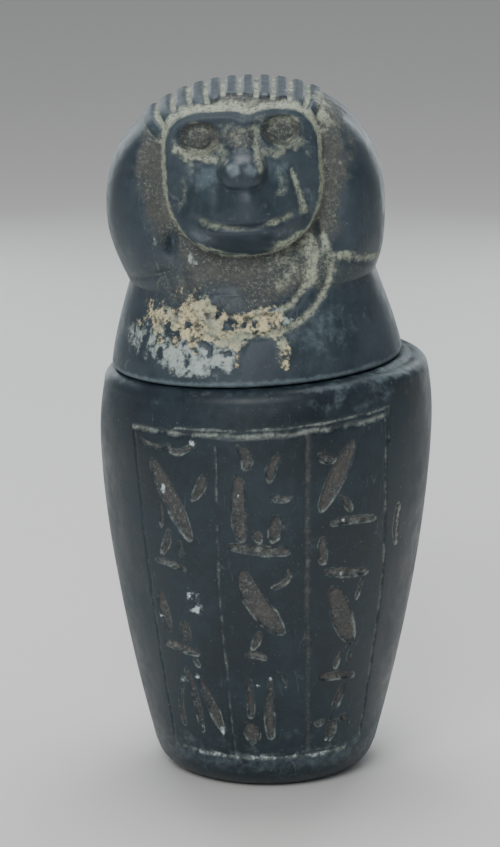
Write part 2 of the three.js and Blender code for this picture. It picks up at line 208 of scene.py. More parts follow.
middleColumn = [
    ((-9.8, 130.4), (-5.2, 127.5), (-7.2, 122.0), 3.8, 0.8),
    ((-9.8, 119), (-9.9, 108), (-9.0, 97.8), 5.0, 0.45),
    ((4.8, 126.4), (0.6, 123.4), (0.8, 117.6), 3.4, 0.9),
    ((1.6, 112.6), (5, 110.6), (8.4, 111.6), 2.4, 0.8), ((3.6, 104.6), (3.4, 100), (2.0, 96.2), 4.8, 0.8),
    ((-4.4, 99.6), (-3, 98), (-2.4, 96.0), 2.6, 0.7), ((-12.2, 94.0), (-3, 93.0), (6.8, 92.0), 3.2, 0.25),
    ((-8.8, 84.6), (-5, 73), (5.6, 62.0), 7.4, 0.75), ((7.0, 85.6), (9.6, 81.4), (2.6, 78.8), 1.4, 0.3),
    ((-2.4, 62.0), (-3.2, 59), (-4.4, 56.4), 2.6, 0.5), ((-6.6, 53.6), (-4, 54.2), (-0.6, 52.4), 2.2, 0.4),
    ((-6.2, 43.2), (-5.2, 36), (-5.2, 29.8), 2.4, 0.4),
    ((-6.4, 26.4), (-4.4, 23.6), (-4.8, 19.4), 5.4, 0.7), ((1.2, 43.4), (1.4, 33), (1.6, 21.4), 3.0, 0.3),
    ((4.4, 46.2), (6.4, 44.6), (6.8, 41.2), 1.8, 0.7),
]
rightColumn = [
    ((31.6, 128.8), (25.8, 119.8), (18.8, 105.8), 6.6, 0.9),
    ((18.2, 125.8), (20.4, 123.6), (23.6, 123.4), 3.2, 0.7),
    ((26.4, 111.0), (28.6, 107.6), (30.6, 104.4), 2.4, 0.7),
    ((23.4, 100.8), (31, 101.4), (40.0, 100.0), 2.6, 0.35),
    ((19.6, 95.2), (19.4, 91), (19.8, 87.0), 3.2, 0.4), ((21.4, 83.0), (28, 82.8), (37.0, 81.0), 3.0, 0.4),
    ((23.2, 77.6), (27.6, 66), (31.4, 54.6), 8.0, 0.9), ((36.0, 79.2), (34, 75), (33.2, 71.5), 1.6, 0.6),
    ((27.0, 52.4), (25.4, 50), (25.0, 46.8), 2.0, 0.4),
    ((31.2, 51.6), (30.2, 49.4), (30.0, 46.8), 1.6, 0.4),
    ((19.4, 43.6), (25, 44.0), (32.0, 42.2), 3.0, 0.35), ((28.6, 38.6), (26.6, 34), (25.2, 30.0), 2.8, 0.5),
    ((24.2, 27.2), (24.4, 23), (23.4, 18.4), 4.0, 0.8),
    ((27.4, 26.0), (29.4, 26.2), (31.8, 23.6), 2.4, 0.8),
    ((20.8, 26.2), (19.4, 25), (17.4, 25.6), 2.2, 0.8),
]
# white mineral patches as (middle, half-width, half-height)
chalkPatches = [
    ((-27.0, 73.8), 2.6, 3.6), ((-25.2, 69.4), 2.2, 2.0), ((-26.5, 131.0), 2.4, 1.5),
    ((-38.8, 113.0), 0.8, 2.2), ((-23.2, 22.8), 1.7, 1.5), ((-15.8, 22.8), 1.2, 1.8),
    ((-31.4, 41.6), 1.5, 1.5), ((-25.2, 43.0), 1.2, 1.6), ((23.4, 18.8), 1.9, 1.2), ((1.6, 21.0), 1.2, 1.0),
    ((30.2, 54.0), 1.5, 1.2), ((27.0, 101.0), 2.4, 0.8), ((-9.0, 107.4), 0.9, 0.9),
    ((-9.6, 112.2), 0.8, 0.8), ((-8.2, 95.0), 0.9, 0.7), ((27.6, 81.8), 1.0, 0.7), ((-3.4, 41.6), 0.8, 0.8),
    ((1.2, 44.0), 0.9, 0.9), ((28.0, 36.8), 0.7, 0.7), ((-40.6, 64.4), 0.6, 0.6),
]

# outer radius: a soft bulge near the top, radius - (radius - waist) * below^taper under it
def jarRadiusAt(z):
    size = jarSize
    wallEnd = size["seatHeight"] - size["rimRound"]
    above = np.clip((z - size["widestHeight"]) / (wallEnd - size["widestHeight"]), 0.0, 1.0)
    below = np.clip((size["widestHeight"] - z) / (size["widestHeight"] - size["waistHeight"]), 0.0, None)
    radius = size["radius"] - (size["radius"] - size["rimRadius"]) * above ** 2
    return radius - (size["radius"] - size["waistRadius"]) * below ** size["taper"]

# points of a round stretch of the profile, middle + radius * (cos, sin)
def arcPoints(middleR, middleZ, radius, startDegrees, endDegrees, count):
    angle = np.radians(np.linspace(startDegrees, endDegrees, count))
    return np.stack([middleR + radius * np.cos(angle), middleZ + radius * np.sin(angle)], -1)

# evenly spaced points between two ends, without the ends
def straightPoints(start, end, count):
    return np.linspace(start, end, count + 2)[1:-1]

# the jar's profile as (radius, height), from the middle of the foot round to the middle of the floor
def jarProfile():
    size = jarSize
    wallEnd = size["seatHeight"] - size["rimRound"]
    wallZ = np.linspace(size["wallStart"], wallEnd, size["wallRows"])
    rimR = size["rimRadius"] - size["rimRound"]
    mouthR = size["mouthRadius"] + size["mouthRound"]
    mouthZ = size["seatHeight"] - size["mouthRound"]
    floorR = size["floorRadius"] - size["floorRound"]
    floorZ = size["floorHeight"] + size["floorRound"]
    return np.concatenate([
        [(0.0, 0.0)],
        straightPoints((0.0, 0.0), (size["footRadius"], 0.0), size["footRows"]),
        arcPoints(size["footRadius"], size["footRound"], size["footRound"], -90, size["footRoundEnd"],
                  size["footRoundRows"]),
        np.stack([jarRadiusAt(wallZ), wallZ], -1),
        arcPoints(rimR, wallEnd, size["rimRound"], 9, 90, size["rimRows"]),
        straightPoints((rimR, size["seatHeight"]), (mouthR, size["seatHeight"]), 8),
        arcPoints(mouthR, mouthZ, size["mouthRound"], 90, 180, 4),
        straightPoints((size["mouthRadius"], mouthZ), (size["floorRadius"], floorZ), 9),
        arcPoints(floorR, floorZ, size["floorRound"], 0, -90, 6),
        [(0.0, size["floorHeight"])],
    ])

# signed depth inside a stroke: its half-width, swollen to a leaf by (4 t (1 - t))^0.6, less the distance
def insideStroke(across, up, stroke):
    start, bend, end, width, swelling = stroke
    distance, passed = pathDistance(across, up, bentPath(start, bend, end))
    leaf = (4.0 * passed * (1.0 - passed)) ** 0.6
    return 0.5 * width * mixed(1.0, leaf, swelling) - distance

# everything cut into the wall: depth inwards, and masks for the cut floor, its lips and white mineral
def panelRelief(turn, z, x, y):
    size = panelSize
    radius = jarRadiusAt(z)
    wobble = size["shake"] * layeredNoise(x, y, z, *jarNoise["wobble"])
    wobbleUp = size["shake"] * layeredNoise(x, y, z, *jarNoise["wobbleUp"])
    across, up = turn * radius + wobble, z + wobbleUp
    onWall = (np.abs(turn) < 1.4) & (z > 8.0) & (z < 142.0)
    depth = np.zeros(x.shape)
    floor = np.zeros(x.shape)
    lip = np.zeros(x.shape)
    a, u = across[onWall], up[onWall]

    # a place on the wall as mm along it, from degrees round it
    def wallX(degrees, height):
        return math.radians(degrees) * float(jarRadiusAt(np.array(height, float)))

    # frame and dividers, as (path, half-width, depth, pale deposit, dirt)
    top, bottom, left = size["top"], size["bottom"], size["left"]
    rightTop, rightBottom = size["right"]
    leftDrift = ((top - 0.6, -1.6), (75, 1.6), (bottom + 3, -0.8))
    leftSide = [(wallX(left + drift, h), h) for h, drift in leftDrift]
    rightSide = [(wallX(mixed(rightBottom, rightTop, h / top), h), h) for h in (bottom + 4, 75, top + 1.6)]
    corner = rightSide[2][0]
    topLine = [(leftSide[0][0], top - 1.0), (-20, top - 1.1), (16, top - 0.9), (corner, top + 0.2)]
    overLine = [(-33, top + 0.9), (-8, top + 0.8), (16, top + 1.3), (corner + 1.5, top + 2.8)]
    lines = [
        (topLine, 1.1, 0.85, 0.78, 0.35),
        (overLine, 0.6, 0.45, 0.75, 0.2),
        (leftSide, 0.5, 0.45, 0.42, 0.2), (rightSide, 0.6, 0.55, 0.72, 0.2),
        ([(corner + 1.6, top + 2.6), (corner + 1.2, top - 9)], 0.5, 0.5, 0.6, 0.2),
        ([(-17.9, top - 5), (-16.6, 78), (-11.0, bottom)], 0.6, 0.45, 0.46, 0.3),
        ([(13.9, top - 1.2), (14.2, 78), (15.2, bottom)], 1.15, 0.5, 0.12, 0.5),
        ([(-31.5, bottom + 0.6), (-3, bottom - 0.2), (30.5, bottom + 0.2)], 0.95, 0.6, 0.85, 0.2),
        ([(-20, bottom + 1.6), (-3, bottom + 1.2), (26, bottom + 2.0)], 0.45, 0.35, 0.5, 0.1),
    ]
    cut, bed, edge = np.zeros(a.shape), np.zeros(a.shape), np.zeros(a.shape)
    for path, half, deep, deposit, dirt in lines:
        distance, passed = pathDistance(a, u, path)
        ends = pathEnds(passed, 0.02, 0.98)
        inside = np.clip(1.0 - (distance / half) ** 2, 0.0, 1.0)
        cut = np.maximum(cut, deep * inside * (0.4 + 0.6 * ends))
        edge = np.maximum(edge, ridge(distance, half * 1.05) * deposit)
        bed = np.maximum(bed, ridge(distance, half * 0.9) * dirt)
    for stroke in leftColumn + middleColumn + rightColumn:
        inside = insideStroke(a, u, stroke)
        full = min(size["signDepth"], 0.38 * stroke[3])
        cut = np.maximum(cut, full * softStep(-0.15, 0.75, inside))
        bed = np.maximum(bed, softStep(0.0, 0.7, inside))

        # a level stroke holds pale deposit, and every stroke has a pale lip of deposit and painted highlight,
        # the highlight strongest below it
        level = abs(stroke[2][1] - stroke[0][1]) < 0.3 * abs(stroke[2][0] - stroke[0][0])
        held = size["levelPale"] if level else size["slopePale"]
        below = softStep(2.0, -3.0, u - 0.5 * (stroke[0][1] + stroke[2][1]))
        around = ridge(inside + 0.15, 0.5) * (size["lipPale"] + size["lipHighlightBelow"] * below)
        edge = np.maximum(edge, np.maximum(held * softStep(0.0, 0.6, inside), around))
    depth[onWall], floor[onWall], lip[onWall] = cut, bed, edge
    depth += size["peckDepth"] * layeredNoise(x, y, z, *jarNoise["pecks"]) * floor
    chalk = np.zeros(x.shape)
    for middle, halfWidth, halfHeight in chalkPatches:
        chalk = np.maximum(chalk, 1.1 * mound(across, up, middle, (halfWidth, halfHeight)))
    bottomLine = ridge(up - bottom, 1.0) * softStep(-30, -22, across) * softStep(27, 20, across)
    chalk = np.maximum(chalk, 0.75 * bottomLine)
    chalk = chalk * softStep(-0.5, 0.3, layeredNoise(x, y, z, *jarNoise["chalk"]))
    return depth, floor, lip, chalk

# the jar: its profile turned round the axis, cut by the panel, worn, given a painted highlight on its rim,
# and sheared up to the right by x * tan(lean) * (z / seat)^growth
def buildJar():
    size = jarSize
    wearAndSheen = jarWearAndSheen
    front, sides = size["frontColumns"], size["sideDensity"]
    turns = crowded(-math.pi, math.pi, size["columns"] + 1,
                    lambda t: sides + (1 - sides) * softStep(front + 0.2, front, np.abs(t)))[:-1]
    profile = jarProfile()
    radius, z = (profile[:, k][:, None] + 0.0 * turns for k in (0, 1))
    turn = turns[None, :] + 0.0 * radius
    x, y = radius * np.sin(turn), -radius * np.cos(turn)
    outerRows = 1 + size["footRows"] + size["footRoundRows"] + size["wallRows"] + size["rimRows"]
    outside = (np.arange(len(profile)) < outerRows)[:, None] * softStep(2.0, 10.0, z)
    depth, floor, lip, chalk = panelRelief(turn, z, x, y)
    depth = depth * outside

    # a slightly uneven, hand-ground wall, and a vertical chip beside the panel
    uneven = size["uneven"] * layeredNoise(x, y, z, *jarNoise["uneven"])
    uneven = uneven + 0.03 * layeredNoise(x, y, z, *jarNoise["ripple"])
    chipPath = bentPath((53.2, 101.5), (50.6, 94.5), (52.4, 88.2))
    chipInside = 1.5 - pathDistance(turn * radius, z, chipPath)[0]
    chipInside = chipInside - 0.5 * layeredNoise(x, y, z, *jarNoise["chip"])
    chip = softStep(-0.1, 0.8, chipInside) * outside
    inwards = depth + wearAndSheen["chipDepth"] * chip - uneven * outside
    x = x - inwards * np.sin(turn)
    y = y + inwards * np.cos(turn)

    # nicks and wear along the rim, the ledge and the turn of the foot, and a painted highlight on the rim's
    # edge
    seat = size["seatHeight"]
    wallEnd = seat - size["rimRound"]
    rightward = np.sin(turn)
    nicks = layeredNoise(x, y, z, *jarNoise["nicks"])
    edgeZone = ridge(z - wallEnd - 4.2, 1.8) * (radius > size["mouthRadius"] + 6)
    z = z - wearAndSheen["nickDepth"] * edgeZone * softStep(0.25, 0.8, nicks)
    rightRim = softStep(0.55, 1.0, rightward) * softStep(wallEnd - 4.0, seat, z) * (radius > 50.0)
    z = z - wearAndSheen["rightRimDrop"] * rightRim
    # the rim's edge band: wear and a painted highlight, stronger towards the right
    edgeLow, edgeHigh = wearAndSheen["edge"]
    worn = edgeZone * mixed(edgeLow, edgeHigh, softStep(-0.3, 0.6, nicks))
    worn = worn * mixed(wearAndSheen["edgeLeft"], 1.0, softStep(0.1, 0.9, rightward))
    toRight = softStep(-0.9, 0.9, rightward)
    dusting = layeredNoise(x, y, z, *jarNoise["dusting"])
    dusting = softStep(wallEnd - 12, wallEnd, z) * softStep(-0.3, 0.6, dusting)
    worn = np.maximum(worn, mixed(*wearAndSheen["dusting"], toRight ** 1.5) * dusting)
    smears = layeredNoise(x, y, 0.5 * z, *jarNoise["smears"])
    smears = softStep(0.0, 0.8, smears) * softStep(30.0, 100.0, z)
    worn = np.maximum(worn, mixed(*wearAndSheen["smears"], toRight ** 2) * smears)
    worn = np.maximum(worn, wearAndSheen["foot"] * ridge(z - 6.5, 4.5) * outside)
    # the wall lighter towards the bottom, fading out by about 34 mm
    worn = np.maximum(worn, wearAndSheen["foot"] * softStep(34.0, 8.0, z + 8.0 * nicks) * outside)
    shareUp = np.clip(z / seat, 0.0, None) ** size["leanGrowth"]
    z = z + x * math.tan(size["lean"]) * shareUp
    pale = lip * (0.5 + 0.5 * softStep(-0.5, 0.4, layeredNoise(x, y, z, *jarNoise["pale"])))
    pale = np.maximum(pale, wearAndSheen["chipLip"] * ridge(chipInside - 0.3, 0.6) * (chip > 0.02))
    masks = {"rough": np.maximum(floor, chip * wearAndSheen["chipDirt"]), "pale": pale * outside,
             "chalk": chalk * outside, "worn": worn, "crust": 0.0 * worn}
    piece = closedShell("canopicJar.body", x, y, z, masks)
    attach(piece, "root")
    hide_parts("jar")
    print("jar:", len(piece.data.polygons), "faces")
    return piece

# the lid: baboon head, mane and shoulders with a plug beneath, turned and moved to the leaning seat

lidSize = {
    "offset": -3.2, "gap": 0.3, "plugRadius": 35.6, "plugDepth": 8.0, "seatRadius": 51.2, "seatRound": 1.6,
    "notchHeight": 30.8, "notchRadius": 42.8, "notchFront": 41.5, "notchBack": 40.8, "sideFlare": 1.3,
    "frontFlare": 1.4, "maneWidth": 48.6, "maneFront": 38.0, "maneBack": 43.0, "maneMiddle": 56.0,
    "maneTop": 98.0, "maneLow": 55.0, "domePower": 2.18, "foreheadPower": 6.0, "napePower": 2.3,
    "sway": -1.0, "swayRise": (34.0, 52.0), "swayEnd": (96.0, 78.0), "uneven": 0.14, "rows": 318,
    "columns": 300, "frontCrowding": 0.6, "roughness": 0.36,
}
# ribs fan out from the mane's middle; angles run clockwise from straight up
crest = {
    "left": math.radians(-44.5), "right": math.radians(34.5), "count": 11, "height": 0.72, "rise": 0.42,
    "start": 0.962, "sideDrop": 0.1,
}
face = {
    "x": -1.1, "z": 70.0, "halfWidth": 26.6, "up": 23.2, "down": 26.6, "browPower": 4.4, "jawPower": 2.35,
    "front": 39.2, "sideDrop": 4.0, "sidePower": 2.4, "topDrop": 3.2, "browRise": 1.3, "browHalf": 1.9,
    "cheeks": (-15.5, 13.5), "cheekHeight": 71.5, "cheekSize": (8.5, 7.0), "cheekRise": 3.2,
}
muzzle = {
    "half": 22.5, "z": 61.0, "up": 24.0, "down": 17.8, "upPower": 2.6, "downPower": 3.5,
    "base": 33.0, "rise": 21.5, "fall": 2.1, "round": 0.72, "blend": 3.4, "topTaper": 8.5, "chinTaper": 1.5,
}
bridge = {
    "x": -0.9, "half": 5.0, "base": 38.2, "rise": 12.5, "topFall": 5.0, "sink": 24.0, "sideFall": 5.0,
    "sidePower": 2.6, "blend": 1.8,
}
nose = {"place": (-1.1, 73.7), "size": (8.3, 7.3), "power": 2.15, "base": 46.0, "rise": 11.8, "blend": 1.2}
socket = {
    "floor": 34.9, "edgeRise": 0.8, "rimRise": 0.6, "ballRise": 1.0, "ballPower": 2.6, "ballGroove": 0.55,
}
# eyes as (middle, eyeball's radius, socket's half-sizes)
eyes = (((-15.0, 84.3), 4.0, (6.9, 5.5)), ((12.8, 85.7), 4.1, (6.5, 4.9)))
# brow bar: two arcs over the eyes that meet in a dip
browPath = [
    (-25.2, 83.5), (-23.4, 88.2), (-19.5, 90.4), (-13.5, 91.2), (-4.5, 91.2), (2.4, 89.4), (7.5, 91.0),
    (15.0, 90.6), (19.6, 87.4), (21.4, 82.5),
]
mouthPath = [(-18.6, 58.4), (-12.6, 56.8), (-5.0, 55.7), (1.0, 55.6), (6.5, 56.2), (12.4, 57.4), (16.4, 59.0)]
# swells and dents of the face as (middle, size, height): those under the nose ball, then those on it
faceDents = (
    ((1.2, 65.0), (4.6, 5.6), 1.5), ((-9.5, 66.5), (3.6, 6.0), -1.9), ((9.0, 66.5), (3.6, 6.0), -2.1),
    ((-8.4, 75.5), (2.4, 4.4), -1.5), ((6.6, 75.5), (2.4, 4.4), -1.5),
)
noseDents = (
    ((-0.5, 74.5), (1.5, 3.6), -0.5), ((-4.8, 68.6), (2.0, 1.1), -1.0), ((3.2, 68.6), (2.0, 1.1), -1.0),
)
# grooves of the face as (start, bend, end, depth, half-width): cheek folds, and hollows beside the bridge
faceGrooves = (
    ((15.5, 73.2), (16.6, 66.5), (19.2, 58.6), 1.5, 1.15),
    ((-17.6, 73.6), (-18.6, 67.0), (-21.8, 59.8), 0.8, 1.6),
    ((-7.2, 82.0), (-8.6, 78.6), (-10.0, 74.0), 0.9, 1.9),
    ((4.4, 86.0), (4.4, 79.0), (7.6, 71.0), 0.9, 1.9),
)
# creases where the mane meets the shoulders
maneCreases = (((26.0, 41.0), (34.0, 40.0), (44.5, 33.5)), ((-28.0, 38.0), (-36.0, 36.5), (-44.5, 33.0)))
collar = {
    "x": -1.0, "z": 42.0, "grooves": ((28.5, 25.0), (21.0, 19.4)), "power": 2.2, "depth": 1.5,
    "grooveHalf": 1.3, "stainHalf": 1.6, "bandRise": 0.7, "bandHalf": 2.0,
}
# random surfaces as (cell size, layers, seed)
lidNoise = {
    "grain": (3.2, 4, 101), "broad": (12.0, 3, 111), "ragged": (8.0, 4, 131), "holes": (3.0, 3, 151),
    "frayed": (2.2, 3, 231), "film": (6.0, 4, 241), "patchy": (2.4, 3, 171), "uneven": (26.0, 2, 191),
    "light": (9.0, 4, 221),
}
# films of pale deposit as (start, bend, end, half-width, strength): on the face, then round and below it
faceFilms = (
    ((-22.8, 81.0), (-19.0, 77.8), (-11.0, 78.2), 1.7, 0.95),
    ((-12.0, 77.4), (-9.0, 77.6), (-7.6, 80.5), 3.2, 0.5),
    ((6.2, 79.0), (12.0, 79.4), (19.0, 82.0), 2.2, 0.6), ((4.4, 87.0), (3.0, 81.0), (5.4, 75.5), 1.4, 0.72),
    ((-21.0, 70.0), (-20.5, 66.0), (-22.0, 61.0), 1.4, 0.35),
    ((-6.0, 85.6), (-1.0, 87.0), (3.6, 86.0), 3.0, 0.42),
    ((8.0, 46.4), (13.0, 47.8), (18.4, 50.0), 2.4, 0.8),
    ((-17.0, 48.6), (-8.0, 44.4), (2.4, 43.4), 0.8, 0.6),
    ((-18.2, 85.6), (-16.0, 87.8), (-12.6, 86.4), 1.0, 0.5),
    ((14.6, 88.2), (16.8, 86.2), (15.2, 83.0), 0.8, 0.5),
    ((9.0, 88.6), (12.0, 90.0), (17.0, 89.0), 1.8, 0.6),
    ((-6.4, 77.0), (-6.0, 80.0), (-5.2, 83.0), 1.4, 0.4),
)
bustFilms = (
    ((27.0, 41.0), (34.0, 40.2), (45.5, 35.5), 1.4, 0.9),
    ((23.2, 53.0), (25.6, 47.0), (27.5, 36.0), 1.5, 0.85),
    ((20.0, 48.0), (21.6, 42.0), (19.8, 33.0), 2.2, 0.8),
    ((26.4, 95.0), (26.0, 89.0), (28.0, 85.0), 2.4, 0.8),
    ((10.0, 41.0), (15.0, 42.5), (20.0, 46.5), 3.0, 0.4),
)
# lighter spots on the face as (middle, size, strength): painted highlights on the nose ball first, then worn
# patches
highlightAndWornSpots = (
    ((-4.0, 76.3), (3.2, 2.6), 1.0), ((2.4, 75.5), (2.6, 2.4), 0.85), ((-15.0, 72.0), (8.0, 6.0), 0.65),
    ((-17.5, 52.0), (6.0, 3.5), 0.6), ((12.5, 73.0), (5.5, 5.5), 0.6), ((11.0, 52.5), (7.0, 2.5), 0.5),
    ((-1.0, 61.0), (7.0, 2.5), 0.35),
)

# the plain form at a height: half-width, reach in front and behind. A foot narrows to the notch by
# share^flare, a flank swells to the mane, and a dome closes it by full * (1 - rise^power)^(1 / power)
def lidForm(z):
    size = lidSize
    share = np.clip(z / size["notchHeight"], 0.0, 1.0)
    edge = np.clip(1.0 - z / size["seatRound"], 0.0, 1.0)
    pull = size["seatRound"] * (1.0 - np.sqrt(1.0 - edge ** 2))
    width = mixed(size["seatRadius"], size["notchRadius"], share ** size["sideFlare"]) - pull
    front = mixed(size["seatRadius"], size["notchFront"], share ** size["frontFlare"]) - pull
    back = mixed(size["seatRadius"], size["notchBack"], share ** size["sideFlare"]) - pull

    flank = np.clip((z - size["notchHeight"]) / (size["maneMiddle"] - size["notchHeight"]), 0.0, 1.0)
    below = np.clip((size["maneMiddle"] - z) / size["maneLow"], 0.0, 1.0)
    onFlank = z > size["notchHeight"]
    width = np.where(onFlank, size["maneWidth"] * np.sqrt(1.0 - below ** 2), width)
    front = np.where(onFlank, mixed(size["notchFront"], size["maneFront"], softStep(0.0, 0.62, flank)), front)
    back = np.where(onFlank, mixed(size["notchBack"], size["maneBack"], np.sin(flank * math.pi / 2)), back)

    rise = np.clip((z - size["maneMiddle"]) / (size["maneTop"] - size["maneMiddle"]), 0.0, 1.0)
    onDome = z > size["maneMiddle"]

    def domed(reach, full, power):
        return np.where(onDome, full * (1.0 - rise ** power) ** (1.0 / power), reach)

    width = domed(width, size["maneWidth"], size["domePower"])
    front = domed(front, size["maneFront"], size["foreheadPower"])
    return width, front, domed(back, size["maneBack"], size["napePower"])

# power of the oval plan: round at the seat, boxier in the mane, most of all over the forehead
def planPower(z, inFront):
    boxy = 2.0 + 0.55 * softStep(10.0, 55.0, z)
    return boxy + np.where(inFront, 0.9, -0.25) * softStep(70.0, 92.0, z)

# distance outside an oval outline measured along the ray from its middle
def ovalDistance(x, z, middle, halfWidth, halfHeight, power):
    across, up = x - middle[0], z - middle[1]
    size = ovalSize(across / halfWidth, up / halfHeight, power)
    return (size - 1.0) * np.hypot(across, up) / np.maximum(size, 0.001)

# distance outside the face's outline, whose top edge dips between the brows
def faceEdgeDistance(x, z):
    across = x - face["x"]
    dip = 1.5 * ridge(x - 2.2, 3.2) - 0.5
    above = z > face["z"]
    halfHeight = np.where(above, face["up"] - dip * softStep(80.0, 90.0, z), face["down"])
    power = np.where(above, face["browPower"], face["jawPower"])
    return ovalDistance(x, z, (face["x"], face["z"]), face["halfWidth"], halfHeight, power)

# a film's or groove's strength at a point: most * exp(-(distance/half)^2), the largest of all in a table
def filmsAt(x, z, films, frayed):
    total = 0.0 * x
    for start, bend, end, half, most in films:
        distance = pathDistance(x, z, bentPath(start, bend, end))[0]
        total = np.maximum(total, most * ridge(distance + half * frayed, 1.15 * half))
    return total

# forward height of the face: plate, muzzle, bridge and nose ball joined by soft maxima, then cut by
# eye sockets, mouth and grooves. The muzzle is base + rise * (1 - size^fall)^round over an oval
def faceHeight(x, z):
    across = np.abs(x - face["x"])
    sideDrop = face["sideDrop"] * np.clip(across / face["halfWidth"], 0, 1.3) ** face["sidePower"]
    height = face["front"] - sideDrop - face["topDrop"] * softStep(82.0, 96.0, z)
    for side in face["cheeks"]:
        height += face["cheekRise"] * mound(x, z, (side, face["cheekHeight"]), face["cheekSize"])

    # muzzle: a broad rounded box, narrowing up to the nose and down to the chin
    above = z > muzzle["z"]
    half = muzzle["half"] - muzzle["topTaper"] * softStep(58.0, 84.0, z)
    half = half - muzzle["chinTaper"] * softStep(54.0, 43.0, z)
    rise = (z - muzzle["z"]) / np.where(above, muzzle["up"], muzzle["down"])
    power = np.where(above, muzzle["upPower"], muzzle["downPower"])
    size = np.clip(ovalSize(across / half, rise, power), 0.0, 1.0)
    snout = muzzle["base"] + muzzle["rise"] * (1.0 - size ** muzzle["fall"]) ** muzzle["round"]
    height = softMax(height, snout, muzzle["blend"])
    for middle, reach, change in faceDents:
        height += change * mound(x, z, middle, reach)

    # bridge of the nose: a low rounded ridge from between the eyes, which ends inside the muzzle
    ridgeTop = bridge["base"] + bridge["rise"] * softStep(90.0, 74.0, z)
    ridgeTop = ridgeTop - bridge["topFall"] * softStep(88.0, 94.0, z)
    ridgeTop = ridgeTop - bridge["sink"] * softStep(68.0, 56.0, z)
    aside = np.clip(np.abs(x - bridge["x"]) / bridge["half"], 0.0, 2.0) ** bridge["sidePower"]
    height = softMax(height, ridgeTop - bridge["sideFall"] * aside, bridge["blend"])

    # a round nose ball, flattened in front, with two soft lobes
    (noseX, noseZ), (noseHalf, noseUp) = nose["place"], nose["size"]
    ballSize = np.clip(ovalSize((x - noseX) / noseHalf, (z - noseZ) / noseUp, nose["power"]), 0.0, 1.0)
    ball = nose["base"] + nose["rise"] * (1.0 - ballSize ** 2.2) ** 0.5
    height = softMax(height, np.where(ballSize < 1.0, ball, 0.0), nose["blend"])
    for middle, reach, change in noseDents:
        height += change * mound(x, z, middle, reach)

    # brow bar, then for each eye its lower rim, its flat socket and the eyeball in it
    brow, passed = pathDistance(x, z, browPath)
    height += face["browRise"] * ridge(brow, face["browHalf"]) * pathEnds(passed, 0.08, 0.92)
    for middle, radius, (halfWidth, halfHeight) in eyes:
        rim = np.hypot((x - middle[0]) / (halfWidth + 1.2), (z - middle[1]) / (halfHeight + 0.8))
        lower = softStep(middle[1] + 1.0, middle[1] - 3.0, z)
        height += socket["rimRise"] * ridge(rim - 1.0, 0.16) * lower
        hole = ovalSize((x - middle[0]) / halfWidth, (z - middle[1]) / halfHeight, 2.2)
        floor = socket["floor"] + socket["edgeRise"] * softStep(0.2, 1.0, hole)
        height = mixed(height, np.minimum(height, floor), softStep(1.12, 0.78, hole))
        away = np.hypot(x - middle[0], z - middle[1]) / radius
        height += socket["ballRise"] * (1.0 - np.clip(away, 0.0, 1.0) ** socket["ballPower"])
        height -= socket["ballGroove"] * ridge(away - 1.12, 0.16)

    # mouth with a lip below it, cheek folds and the hollows that run down beside the bridge
    mouth, passed = pathDistance(x, z, mouthPath)
    height -= 1.25 * ridge(mouth, 1.0) * pathEnds(passed, 0.08, 0.94)
    height += 0.5 * ridge(mouth - 2.4, 1.3)
    for start, bend, end, deep, halfGroove in faceGrooves:
        height -= deep * ridge(pathDistance(x, z, bentPath(start, bend, end))[0], halfGroove)
    return height

# forward height of mane and chest round the face, from the plain form's own forward height
def bustHeight(x, z, plain, edgeDistance):
    lobes = ridge(np.abs(x) - 38.5, 7.0) * softStep(34.0, 46.0, z) * softStep(88.0, 74.0, z)
    fromFace = np.clip(edgeDistance - 0.4, 0.0, None)
    high = softStep(84.0, 94.0, z)
    valley = np.exp(-(fromFace / mixed(6.5, 3.0, high)) ** 2.4) * softStep(36.0, 50.0, z)
    height = plain + 2.6 * lobes - mixed(3.8, 1.6, high) * valley
    height += 1.8 * mound(x, z, (collar["x"], 28.5), (15.0, 7.0))
    height -= 1.0 * mound(x, z, (collar["x"], 36.0), (19.0, 5.5))
    for crease in maneCreases:
        height -= 1.3 * ridge(pathDistance(x, z, bentPath(*crease))[0], 1.3)
    return height

# how far the two U grooves and their band change the chest, and a mask that marks the grooves
def collarRelief(x, z):
    hang = softStep(collar["z"] + 1.0, collar["z"] - 6.0, z)
    change = np.zeros(x.shape)
    groove = np.zeros(x.shape)
    for halfWidth, drop in collar["grooves"]:
        distance = ovalDistance(x, z, (collar["x"], collar["z"]), halfWidth, drop, collar["power"])
        change -= collar["depth"] * ridge(distance, collar["grooveHalf"])
        groove = np.maximum(groove, ridge(distance, collar["stainHalf"]))
    middleWidth, middleDrop = (0.5 * (a + b) for a, b in zip(*collar["grooves"]))
    band = ovalDistance(x, z, (collar["x"], collar["z"]), middleWidth, middleDrop, collar["power"])
    change += collar["bandRise"] * ridge(band, collar["bandHalf"])
    return change * hang, groove * hang

